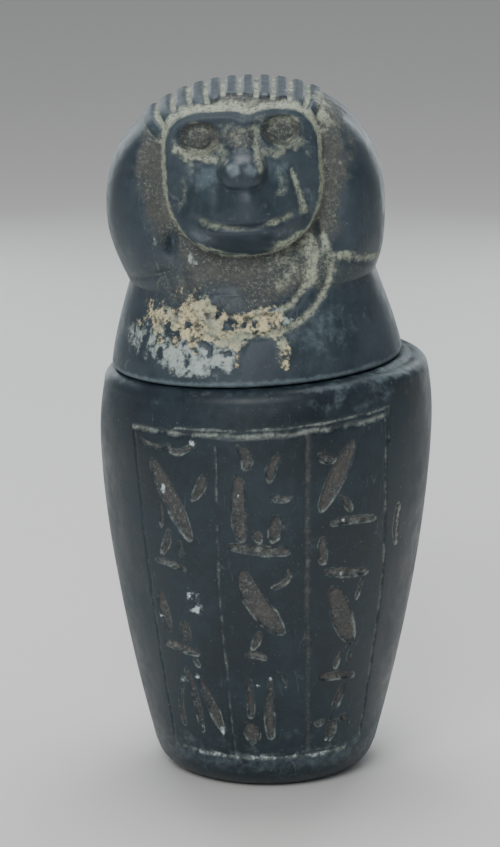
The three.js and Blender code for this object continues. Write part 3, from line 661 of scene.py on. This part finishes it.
# outward swell of the crest: flat-topped ribs, tanh(2.2 cos(turned) + 0.8), that start further down
# towards the sides and fade behind; with masks of the grooves, the ribs and the band below them
def crestRelief(x, y, z):
    size = lidSize
    angle = np.arctan2(x, z - size["maneMiddle"])
    spacing = (crest["right"] - crest["left"]) / (crest["count"] - 1)
    shake = 0.05 * latticeNoise(x, y, z, 5.0, 201)
    turned = 2.0 * math.pi * (angle - crest["left"]) / spacing
    wave = np.tanh(2.2 * np.cos(turned) + 0.8 + 7.0 * shake) / 0.99
    half = 0.5 * spacing
    sides = softStep(crest["left"] - half - 0.02, crest["left"] - half + 0.03, angle)
    sides = sides * softStep(crest["right"] + half + 0.02, crest["right"] + half - 0.03, angle)
    up = np.clip(z - size["maneMiddle"], 0.0, None) / (size["maneTop"] - size["maneMiddle"])
    outer = ovalSize(x / size["maneWidth"], up, size["domePower"])
    start = crest["start"] - crest["sideDrop"] * (angle / crest["left"]) ** 2 + 0.45 * shake
    behind = softStep(26.0, 12.0, y)
    zone = sides * softStep(start - 0.008, start + 0.012, outer) * behind
    swell = (crest["height"] * wave + crest["rise"]) * zone
    groove = zone * softStep(0.3, -0.8, wave)
    band = sides * behind * softStep(start + 0.01, start - 0.012, outer)
    band = band * softStep(start - 0.14, start - 0.08, outer)
    return swell, groove, zone, band

# the lid's rows: the plug as (radius, height), then heights spaced evenly along the outline
def lidRows():
    size = lidSize
    fine = np.linspace(0.0, 1.0, 3000)
    z = mixed(0.0, size["maneTop"], 1.0 - (1.0 - fine) ** 2.2)
    width, front, back = lidForm(z)
    step = np.hypot(np.diff(z), np.maximum(np.abs(np.diff(width)), np.abs(np.diff(front))))
    passed = np.concatenate([[0.0], np.cumsum(step)])
    under = [(0.0, -size["plugDepth"]), (20.0, -size["plugDepth"]), (34.1, -size["plugDepth"]),
             (35.2, -7.6), (size["plugRadius"], -6.5), (size["plugRadius"], -0.4), (36.0, 0.0), (43.0, 0.0)]
    heights = np.interp(np.linspace(0.0, passed[-1], size["rows"] - len(under)), passed, z)
    return np.array(under), heights

# the plain lid as a grid of points, with its columns closer together in front
def lidGrid():
    size = lidSize
    under, heights = lidRows()
    reaches = (np.concatenate([under[:, 0], reach]) for reach in lidForm(heights))
    width, front, back = reaches
    width[-1] = front[-1] = back[-1] = 0.0
    z = np.concatenate([under[:, 1], heights])
    share = np.linspace(0.0, 1.0, size["columns"], endpoint=False)
    turn = 2.0 * math.pi * share
    turn = turn - size["frontCrowding"] * np.sin(turn)
    width, front, back, z = (values[:, None] + 0.0 * turn for values in (width, front, back, z))
    turn = turn[None, :] + 0.0 * z
    inFront = np.cos(turn) > 0.0
    depth = np.where(inFront, front, back)
    power = np.where(z > 0.0, planPower(z, inFront), 2.0)
    across, along = np.sin(turn) / np.maximum(width, 1e-6), np.cos(turn) / np.maximum(depth, 1e-6)
    reach = 1.0 / ovalSize(across, along, power)
    x, y = reach * np.sin(turn), -reach * np.cos(turn)
    x = x + size["sway"] * softStep(*size["swayRise"], z) * softStep(*size["swayEnd"], z)
    return turn, x, y, z

# how rough the ground is: never polished between face and mane, over the brow, on the neck, in the eyes
# and between them; bare in the pits and on the polished stretches of the chest
def roughGround(x, z, edgeDistance, onFace, collarGroove, ribZone, band, grain, broad):
    fromFace = edgeDistance + 4.0 * broad + 1.5 * grain
    valleyReach = np.where(x < 0.0, 12.5, 14.0)
    valley = softStep(valleyReach, 1.0, fromFace) * softStep(-0.6, 0.6, edgeDistance)
    valley = 1.15 * valley * softStep(22.0, 34.0, z + 3.0 * broad) * (1.0 - ribZone)
    neck = 0.85 * mound(x, z, (-2.0, 35.0), (33.0, 10.0)) * (1.0 - onFace)
    eyeFill = 0.0 * x
    for middle, radius, (halfWidth, halfHeight) in eyes:
        hole = ovalSize((x - middle[0]) / (halfWidth + 0.4), (z - middle[1]) / (halfHeight + 0.4), 2.2)
        eyeFill = np.maximum(eyeFill, softStep(1.1, 0.8, hole))
    bridgeFill = 0.75 * mound(x, z, (-1.5, 84.5), (6.5, 4.0))
    rough = np.maximum(np.maximum(valley, band), 1.2 * neck + 0.4 * broad * neck)
    pits = mound(x, z, (-26.4, 48.4), (2.2, 4.2)) + mound(x, z, (23.3, 50.3), (1.1, 3.2))
    polished = 1.3 * mound(x, z, (17.5, 26.8), (9.5, 4.6)) * (1.0 - collarGroove)
    polished = np.maximum(polished, 0.9 * mound(x, z, (-9.0, 31.0), (9.0, 4.2)))
    rough = np.clip(np.maximum(rough, np.maximum(eyeFill, bridgeFill) * onFace), 0.0, 1.0)
    rough = rough * np.clip(1.0 - 0.8 * pits - polished, 0.0, 1.0) * (1.0 - 0.25 * eyeFill)
    return rough, eyeFill, pits

# crust on the chest, ragged at its edges and full of holes, and how tan rather than white it is
def crustOn(x, z, ragged, holes):
    spread = np.maximum(mound(x, z, (-20.0, 16.0), (23.0, 13.0)), 0.9 * mound(x, z, (3.0, 21.0), (12.0, 9.0)))
    spread = np.maximum(spread, 0.75 * mound(x, z, (9.0, 10.5), (5.5, 8.5)))
    clear = 1.1 * mound(x, z, (1.4, 10.5), (3.8, 6.2)) + 0.5 * mound(x, z, (-2.0, 27.0), (7.0, 3.0))
    crust = softStep(0.12, 0.66, spread - clear + 0.42 * ragged) * softStep(1.5, 5.0, z)
    crust = crust * softStep(-0.75, -0.1, holes)
    tan = np.maximum(mound(x, z, (-14.0, 22.5), (22.0, 7.5)), mound(x, z, (9.0, 10.5), (6.0, 9.0)))
    return crust, softStep(0.05, 0.6, tan + 0.6 * holes)

# pale deposit in the mouth, folds, collar and under the eyes; the line along the face's edge is deposit and
# painted highlight
def carvedDepositAndEdgeHighlight(x, z, edgeDistance, onFace, collarGroove, eyeFill, frayed, broad):
    mouth = ridge(pathDistance(x, z, mouthPath)[0] + frayed, 1.3) * mixed(0.5, 0.85, softStep(3.0, 6.0, x))
    mouth = 1.1 * mouth * (0.35 + 0.65 * softStep(1.0, 5.0, np.abs(x - 2.6)))
    mouth = mouth * softStep(17.5, 14.0, np.abs(x + 1.0))
    fold, passed = pathDistance(x, z, bentPath((15.5, 72.6), (17.0, 66.0), (19.2, 58.6)))
    fold = 0.85 * ridge(fold + 0.6 * frayed, 0.8 + 0.8 * passed)
    films = np.maximum(filmsAt(x, z, faceFilms, frayed), 0.12 * eyeFill)
    # painted highlight, with some deposit, along the raised edge of the face plate, stronger higher up
    edgeLine = ridge(edgeDistance - 0.1 + 0.3 * frayed, 0.9) * mixed(0.75, 1.0, softStep(44.0, 52.0, z))
    onTheFace = np.maximum(np.maximum(mouth, fold), films) * onFace
    inCollar = collarGroove * mixed(0.2, 0.85, softStep(-8.0, 6.0, x + 4.0 * broad))
    return np.maximum(np.maximum(inCollar, onTheFace), np.maximum(edgeLine, filmsAt(x, z, bustFilms, frayed)))

# the lid: the plain form with its front moved along -Y by the face, chest, collar, ground and crust
def buildLid():
    size = lidSize
    turn, x, y, z = lidGrid()
    edgeDistance = faceEdgeDistance(x, z)
    bust = bustHeight(x, z, -y, edgeDistance)
    collarChange, collarGroove = collarRelief(x, z)
    onFace = softStep(0.7, -0.7, edgeDistance)
    forward = mixed(bust + collarChange, faceHeight(x, z), onFace)
    outside = z > 0.0
    frontShare = softStep(2.0, 9.0, -y) * outside
    swell, ribGroove, ribZone, foreheadBand = crestRelief(x, y, z)
    swell = swell * outside * (1.0 - onFace * frontShare)

    grain, broad, ragged, holes, frayed, film, patchy, uneven = (
        layeredNoise(x, y, z, *lidNoise[name])
        for name in ("grain", "broad", "ragged", "holes", "frayed", "film", "patchy", "uneven"))
    frayed = 0.9 * frayed
    band = foreheadBand * softStep(-0.4, 0.5, edgeDistance)
    rough, eyeFill, pits = roughGround(
        x, z, edgeDistance, onFace, collarGroove, ribZone, band, grain, broad)
    rough = rough * frontShare
    crust, creamy = crustOn(x, z, ragged, holes)
    crust = crust * frontShare

    # pale deposit, the face edge's painted highlight, thin films over rough ground and face, a band over the
    # brow, rib grooves
    pale = carvedDepositAndEdgeHighlight(x, z, edgeDistance, onFace, collarGroove, eyeFill, frayed, broad)
    pale = np.maximum(pale, 0.55 * softStep(0.0, 0.8, broad + 0.5 * grain) * rough * (1.0 - onFace))
    nearBrow = mixed(0.25, 1.0, softStep(4.2, 1.2, edgeDistance + 1.5 * broad))
    pale = np.maximum(pale, band * nearBrow * (0.62 + 0.4 * grain + 0.2 * broad))
    film = 0.5 * softStep(-0.1, 0.9, film) * onFace * softStep(28.0, 78.0, z)
    khaki = mound(x, z, (8.0, 38.0), (10.0, 5.0)) * softStep(-0.6, 0.5, grain) * (1.0 - onFace)
    pale = np.maximum(pale, np.maximum(film, 0.25 * khaki)) * frontShare
    pale = np.maximum(pale, np.maximum(ribGroove * (0.75 + 0.35 * grain), 0.2 * ribZone))
    pale = pale * (0.7 + 0.3 * softStep(-0.6, 0.3, patchy)) * np.clip(1.0 - pits, 0.0, 1.0)
    spots = mound(x, z, (-20.5, 43.0), (1.1, 1.9)) + mound(x, z, (-18.6, 41.2), (0.8, 0.8))

    # relief of the rough ground, with a pit at the lower left of the face and a slot at the lower right
    forward = forward + rough * (1.0 - 0.7 * onFace) * (0.42 * grain + 0.3 * broad) - 3.2 * pits * frontShare
    forward = forward + crust * (0.75 + 0.45 * ragged + 0.35 * grain)
    uneven = size["uneven"] * uneven * softStep(0.0, 5.0, z)
    push = (forward + y) * frontShare

    # the crest swells outwards along the dome's own slope
    plainZ = z
    lift = np.clip((z - size["maneMiddle"]) / (size["maneTop"] - size["maneMiddle"]), 0.0, 1.0)
    out = np.stack([x / size["maneWidth"] ** 2, y / size["maneFront"] ** 2, lift / 45.0], -1)
    out = out / np.maximum(np.linalg.norm(out, axis=-1, keepdims=True), 1e-9) * swell[..., None]
    x = x + out[..., 0] + uneven * np.sin(turn)
    y = y - push + out[..., 1] - uneven * np.cos(turn)
    z = z + out[..., 2]

    # wear on the foot's edge, the rib tops and the standing parts of the face, and a faint film; painted
    # highlights on the nose ball and a painted sheen low on the chest's right
    worn = np.clip(0.8 * ridge(z - 1.0, 1.6) * (z > -0.1), 0, 1)
    worn = np.maximum(worn, 0.4 * ribZone * softStep(94.0, 98.5, plainZ))
    lightFilm = softStep(0.0, 0.8, layeredNoise(x, y, z, *lidNoise["light"])) * outside
    worn = np.maximum(worn, 0.38 * lightFilm)
    for middle, reach, most in highlightAndWornSpots:
        worn = np.maximum(worn, most * mound(x, plainZ, middle, reach) * onFace)
    # painted sheen: a broad lighter patch low on the right of the chest
    worn = np.maximum(worn, 0.5 * mound(x, plainZ, (22.0, 17.0), (17.0, 12.0)) * frontShare)
    masks = {"rough": rough, "pale": pale, "worn": worn, "crust": crust * creamy,
             "chalk": np.maximum(crust * (1.0 - creamy), spots)}

    lean = jarSize["lean"]
    x, z = x * math.cos(lean) - z * math.sin(lean), x * math.sin(lean) + z * math.cos(lean)
    x = x + size["offset"]
    z = z + jarSize["seatHeight"] + size["gap"] + size["offset"] * math.tan(lean)
    piece = closedShell("baboonLid.head", x, y, z, masks)
    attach(piece, "root")
    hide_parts("lid")
    print("lid:", len(piece.data.polygons), "faces")
    return piece

# adds a shader node with its settings and its plain input values or links
def addNode(tree, kind, settings=None, **inputs):
    node = tree.nodes.new(kind)
    for name, value in (settings or {}).items():
        setattr(node, name, value)
    for name, value in inputs.items():
        socket = node.inputs[int(name[1:])] if name[0] == "i" and name[1:].isdigit() else node.inputs[name]
        if isinstance(value, bpy.types.NodeSocket):
            tree.links.new(value, socket)
        else:
            socket.default_value = value
    return node

# an empty node group, with its inputs as (name, kind, default) and outputs as (name, kind)
def newGroup(name, inputs, outputs):
    tree = bpy.data.node_groups.new(name, "ShaderNodeTree")
    for direction, sockets in (("INPUT", inputs), ("OUTPUT", outputs)):
        for socketName, kind, *default in sockets:
            socket = tree.interface.new_socket(socketName, in_out=direction, socket_type="NodeSocket" + kind)
            if default:
                socket.default_value = default[0]
    return tree, tree.nodes.new("NodeGroupInput").outputs, tree.nodes.new("NodeGroupOutput").inputs

# a noise from 0 to 1, its scale in waves per metre
def noiseNode(tree, place, scale, detail=4.0, roughness=0.6, distortion=0.0):
    return addNode(tree, "ShaderNodeTexNoise", Vector=place, Scale=scale, Detail=detail, Roughness=roughness,
                   Distortion=distortion).outputs["Fac"]

# first below low, second above high, smooth between
def stepNode(tree, value, low, high, first=0.0, second=1.0):
    settings = {"interpolation_type": "SMOOTHSTEP"}
    node = addNode(tree, "ShaderNodeMapRange", settings, i0=value, i1=low, i2=high, i3=first, i4=second)
    return node.outputs[0]

# any sum as a node; the four functions after it are the commonest ones
def mathNode(tree, operation, first, second=0.5, clamp=False):
    settings = {"operation": operation, "use_clamp": clamp}
    return addNode(tree, "ShaderNodeMath", settings, i0=first, i1=second).outputs[0]

# first + second
def plus(tree, first, second, clamp=False):
    return mathNode(tree, "ADD", first, second, clamp)

# first - second
def minus(tree, first, second):
    return mathNode(tree, "SUBTRACT", first, second)

# first * second
def times(tree, first, second):
    return mathNode(tree, "MULTIPLY", first, second)

# the larger of first and second
def larger(tree, first, second):
    return mathNode(tree, "MAXIMUM", first, second)

# a straight blend of two colours, first + (second - first) * share
def mixNode(tree, share, first, second, blend="MIX"):
    return addNode(tree, "ShaderNodeMix", {"data_type": "RGBA", "blend_type": blend}, i0=share, i6=first,
                   i7=second).outputs[2]

# mottled dark stone with fine flecks and thin scratches: colour, roughness and height
def makeStoneGroup():
    tree, given, put = newGroup(
        "stoneGrain",
        [("Place", "Vector"), ("Dark", "Color"), ("Light", "Color"), ("Fleck", "Color")],
        [("Color", "Color"), ("Roughness", "Float"), ("Height", "Float")])
    place = given["Place"]
    broad = noiseNode(tree, place, 38.0, 5.0, 0.62, 0.6)
    medium = noiseNode(tree, place, 210.0, 4.0, 0.6)
    fine = noiseNode(tree, place, 1500.0, 2.0, 0.5)
    mottle = plus(tree, times(tree, broad, 0.65), times(tree, medium, 0.35))
    color = mixNode(tree, stepNode(tree, mottle, 0.36, 0.66), given["Dark"], given["Light"])
    flecks = stepNode(tree, fine, 0.66, 0.78, 0.0, 0.5)
    color = mixNode(tree, flecks, color, given["Fleck"])
    specks = addNode(tree, "ShaderNodeTexVoronoi", {"feature": "F1"}, Vector=place, Scale=330.0,
                     Randomness=1.0)
    dot = stepNode(tree, specks.outputs["Distance"], 0.16, 0.05)
    rare = stepNode(tree, noiseNode(tree, place, 120.0, 2.0), 0.58, 0.68)
    dot = times(tree, times(tree, dot, rare), 0.5)
    color = mixNode(tree, dot, color, given["Fleck"])

    # scratches: long thin bands where a strongly stretched noise crosses its middle value
    scratches = None
    for turn, stretch, scale in ((0.5, 0.02, 260.0), (-0.9, 0.025, 210.0), (0.12, 0.02, 170.0)):
        turned = addNode(tree, "ShaderNodeMapping", Vector=place, Rotation=(0.0, turn, 0.3),
                         Scale=(1.0, 1.0, stretch))
        line = noiseNode(tree, turned.outputs[0], scale, 0.0, 0.3)
        away = mathNode(tree, "ABSOLUTE", minus(tree, line, 0.5))
        thin = stepNode(tree, away, 0.012, 0.003)
        patch = stepNode(tree, noiseNode(tree, place, 55.0 + 0.1 * scale, 2.0), 0.6, 0.7)
        thin = times(tree, thin, patch)
        scratches = thin if scratches is None else larger(tree, scratches, thin)
    color = mixNode(tree, times(tree, scratches, 0.28), color, given["Fleck"])
    tree.links.new(color, put["Color"])
    polish = stepNode(tree, broad, 0.3, 0.7, 0.0, 0.16)
    polish = plus(tree, polish, stepNode(tree, medium, 0.3, 0.7, 0.0, 0.1))
    polish = plus(tree, polish, times(tree, scratches, 0.15))
    tree.links.new(polish, put["Roughness"])
    height = plus(tree, times(tree, medium, 0.5), times(tree, fine, 0.16))
    height = minus(tree, height, times(tree, scratches, 0.25))
    tree.links.new(height, put["Height"])
    return tree

# what covers the stone: unpolished ground, wear with painted highlights and sheen, khaki deposit with painted
# highlights, cream crust and white mineral, by masks
def makeCoverGroup():
    tree, given, put = newGroup(
        "stoneCover",
        [("Place", "Vector"), ("Stone", "Color"), ("Rough Color", "Color"), ("Worn Color", "Color"),
         ("Pale Color", "Color"), ("Crust Color", "Color"), ("Chalk Color", "Color"),
         ("Rough", "Float"), ("Worn", "Float"), ("Pale", "Float"), ("Crust", "Float"), ("Chalk", "Float")],
        [("Color", "Color"), ("Cover", "Float"), ("Height", "Float")])
    place = given["Place"]
    grain = noiseNode(tree, place, 900.0, 3.0, 0.65)
    patchy = noiseNode(tree, place, 330.0, 4.0, 0.65)
    clouds = noiseNode(tree, place, 90.0, 3.0, 0.6)
    dust = noiseNode(tree, place, 2400.0, 1.0, 0.5)

    # a mask that breaks up along the grain: mask + (noise - 0.5) * strength, then a soft threshold
    def broken(mask, noise, strength, low, high, most):
        swing = times(tree, minus(tree, noise, 0.5), strength)
        share = stepNode(tree, plus(tree, mask, swing), low, high, 0.0, most)
        return times(tree, share, stepNode(tree, mask, 0.0, 0.2))

    color = given["Stone"]
    rough = broken(given["Rough"], patchy, 0.9, 0.15, 0.7, 0.92)
    bare = stepNode(tree, clouds, 0.3, 0.75, 0.0, 0.55)
    roughTone = mixNode(tree, bare, given["Rough Color"], given["Stone"])
    color = mixNode(tree, rough, color, roughTone)
    speckle = plus(tree, times(tree, grain, 0.6), times(tree, dust, 0.4))
    sparkle = times(tree, rough, stepNode(tree, speckle, 0.46, 0.74))
    sparkle = times(tree, sparkle, stepNode(tree, clouds, 0.36, 0.62, 0.25, 0.66))
    color = mixNode(tree, sparkle, color, given["Pale Color"])
    # wear; the same mask also paints highlights on the jar's rim and the nose ball, and a sheen on the chest
    worn = broken(given["Worn"], patchy, 1.1, 0.25, 0.95, 0.6)
    color = mixNode(tree, worn, color, given["Worn Color"])
    # pale deposit; the same mask also paints highlights on the lips of the jar's cuts and along the face's
    # edge
    pale = broken(given["Pale"], patchy, 0.9, 0.16, 0.9, 0.88)
    paleTone = mixNode(tree, stepNode(tree, grain, 0.28, 0.56), given["Rough Color"], given["Pale Color"])
    color = mixNode(tree, pale, color, paleTone)

    # crust and chalk are mottled: thin and grey in places, thick and light in others
    mottle = plus(tree, times(tree, patchy, 0.6), times(tree, grain, 0.4))
    crust = broken(given["Crust"], mottle, 2.6, 0.25, 0.75, 0.96)
    crustTone = mixNode(tree, stepNode(tree, mottle, 0.41, 0.59), given["Rough Color"], given["Crust Color"])
    crustTone = mixNode(tree, stepNode(tree, clouds, 0.45, 0.62, 0.0, 0.75), crustTone, given["Pale Color"])
    color = mixNode(tree, crust, color, crustTone)
    chalk = broken(given["Chalk"], mottle, 2.8, 0.3, 1.15, 0.92)
    color = mixNode(tree, chalk, color, given["Chalk Color"])
    tree.links.new(color, put["Color"])
    cover = larger(tree, rough, larger(tree, pale, crust))
    cover = larger(tree, cover, times(tree, worn, 0.5))
    tree.links.new(cover, put["Cover"])
    height = times(tree, plus(tree, grain, patchy), cover)
    tree.links.new(height, put["Height"])
    return tree

stoneColors = {
    "jar": {"Dark": (0.005, 0.013, 0.02, 1), "Light": (0.015, 0.031, 0.042, 1),
            "Fleck": (0.15, 0.19, 0.21, 1)},
    "lid": {"Dark": (0.019, 0.033, 0.045, 1), "Light": (0.04, 0.061, 0.077, 1),
            "Fleck": (0.18, 0.22, 0.24, 1)},
}
# cover colours: the worn colour also paints highlights and sheen, and the pale colour also paints highlights
# along edges
coverColors = {
    "jar": {
        "Rough Color": (0.082, 0.078, 0.075, 1), "Worn Color": (0.18, 0.24, 0.26, 1),
        "Pale Color": (0.29, 0.33, 0.30, 1), "Crust Color": (0.5, 0.42, 0.27, 1),
        "Chalk Color": (0.66, 0.76, 0.8, 1),
    },
    "lid": {
        "Rough Color": (0.092, 0.093, 0.088, 1), "Worn Color": (0.20, 0.26, 0.29, 1),
        "Pale Color": (0.43, 0.47, 0.36, 1), "Crust Color": (0.74, 0.66, 0.40, 1),
        "Chalk Color": (0.46, 0.54, 0.51, 1),
    },
}

# one stone: the grain under its cover, roughness = base + grain + 0.4 where covered, and a shared bump
def makeStone(name, colors, cover, stoneGroup, coverGroup, baseRoughness):
    material = bpy.data.materials.new(name)
    material.use_nodes = True
    tree = material.node_tree
    place = addNode(tree, "ShaderNodeTexCoord").outputs["Object"]
    body = addNode(tree, "ShaderNodeGroup", {"node_tree": stoneGroup}, Place=place, **colors)
    masks = {}
    for mask in ("rough", "worn", "pale", "crust", "chalk"):
        attribute = addNode(tree, "ShaderNodeAttribute", {"attribute_name": mask})
        masks[mask.capitalize()] = attribute.outputs["Fac"]
    top = addNode(tree, "ShaderNodeGroup", {"node_tree": coverGroup}, Place=place,
                  Stone=body.outputs["Color"], **cover, **masks)
    shader = tree.nodes["Principled BSDF"]
    tree.links.new(top.outputs["Color"], shader.inputs["Base Color"])
    polish = plus(tree, body.outputs["Roughness"], baseRoughness)
    dull = stepNode(tree, top.outputs["Cover"], 0.0, 0.8, 0.0, 0.4)
    tree.links.new(plus(tree, polish, dull, clamp=True), shader.inputs["Roughness"])
    height = plus(tree, body.outputs["Height"], times(tree, top.outputs["Height"], 1.6))
    bump = addNode(tree, "ShaderNodeBump", Height=height, Strength=0.35, Distance=0.0005)
    tree.links.new(bump.outputs[0], shader.inputs["Normal"])
    shader.inputs["Specular IOR Level"].default_value = 0.5
    return material

studio = {
    "floorReach": 8.0, "floorColor": (0.82, 0.81, 0.79, 1), "floorRoughness": 0.6,
    "lightTarget": (0.0, 0.0, 0.14), "roomColor": (0.9, 0.93, 0.95, 1), "roomStrength": 0.33,
}
# lights as (name, place, width, height, power, colour)
lights = (
    ("softKey", (-0.3, -1.1, 0.9), 0.7, 0.7, 10.0, (1.0, 1.0, 1.0)),
    ("leftEdge", (-0.42, 0.95, 0.3), 0.25, 1.0, 2.7, (0.86, 0.96, 1.0)),
    ("rightEdge", (0.42, 0.95, 0.3), 0.25, 1.0, 2.7, (0.88, 0.96, 1.0)),
    ("topGlow", (0.0, 0.25, 1.1), 0.6, 0.6, 7.0, (1.0, 1.0, 1.0)),
)
# the camera's frame height is what it sees at its target's distance, in metres
view = {
    "target": (-0.0057, 0.0, 0.124), "elevation": 13.5, "distance": 1.3, "frameHeight": 0.3003,
    "sensor": 36.0,
}

# a flat pale floor, a square of twice its reach
def addFloor():
    mesh = bpy.data.meshes.new("studioFloor")
    reach = studio["floorReach"]
    corners = [(-reach, -reach, 0.0), (reach, -reach, 0.0), (reach, reach, 0.0), (-reach, reach, 0.0)]
    mesh.from_pydata(corners, [], [(0, 1, 2, 3)])
    floor = bpy.data.objects.new("studioFloor", mesh)
    bpy.context.scene.collection.objects.link(floor)
    material = bpy.data.materials.new("paleFloor")
    material.use_nodes = True
    shader = material.node_tree.nodes["Principled BSDF"]
    shader.inputs["Base Color"].default_value = studio["floorColor"]
    shader.inputs["Roughness"].default_value = studio["floorRoughness"]
    mesh.materials.append(material)

# turns a light or camera so that it looks at a point
def aim(item, target):
    item.rotation_mode = "QUATERNION"
    item.rotation_quaternion = (Vector(target) - item.location).to_track_quat("-Z", "Y")

# a rectangular light that looks at the lights' shared target
def addLight(name, place, width, height, power, color):
    data = bpy.data.lights.new(name, "AREA")
    data.shape = "RECTANGLE"
    data.size, data.size_y, data.energy, data.color = width, height, power, color
    light = bpy.data.objects.new(name, data)
    light.location = place
    aim(light, studio["lightTarget"])
    bpy.context.scene.collection.objects.link(light)

# the camera in front, raised by its elevation, lens = sensor * distance / frame height
def addCamera():
    data = bpy.data.cameras.new("frontCamera")
    data.sensor_width = view["sensor"]
    data.lens = data.sensor_width * view["distance"] / view["frameHeight"]
    camera = bpy.data.objects.new("frontCamera", data)
    target = Vector(view["target"])
    elevation = math.radians(view["elevation"])
    direction = Vector((0.0, -math.cos(elevation), math.sin(elevation)))
    camera.location = target + direction * view["distance"]
    aim(camera, target)
    bpy.context.scene.collection.objects.link(camera)
    bpy.context.scene.camera = camera

# the four lights and an even pale room
def lightStudio():
    for light in lights:
        addLight(*light)
    world = bpy.data.worlds.new("paleRoom")
    bpy.context.scene.world = world
    world.use_nodes = True
    background = world.node_tree.nodes["Background"]
    background.inputs["Color"].default_value = studio["roomColor"]
    background.inputs["Strength"].default_value = studio["roomStrength"]

addCamera()
jarPiece = buildJar()
lidPiece = buildLid()
stoneGroup, coverGroup = makeStoneGroup(), makeCoverGroup()
for name, piece, size in (("jar", jarPiece, jarSize), ("lid", lidPiece, lidSize)):
    piece.data.materials.append(makeStone(
        name + "Stone", stoneColors[name], coverColors[name], stoneGroup, coverGroup, size["roughness"]))
addFloor()
lightStudio()
print("materials, floor, lights and camera are set")
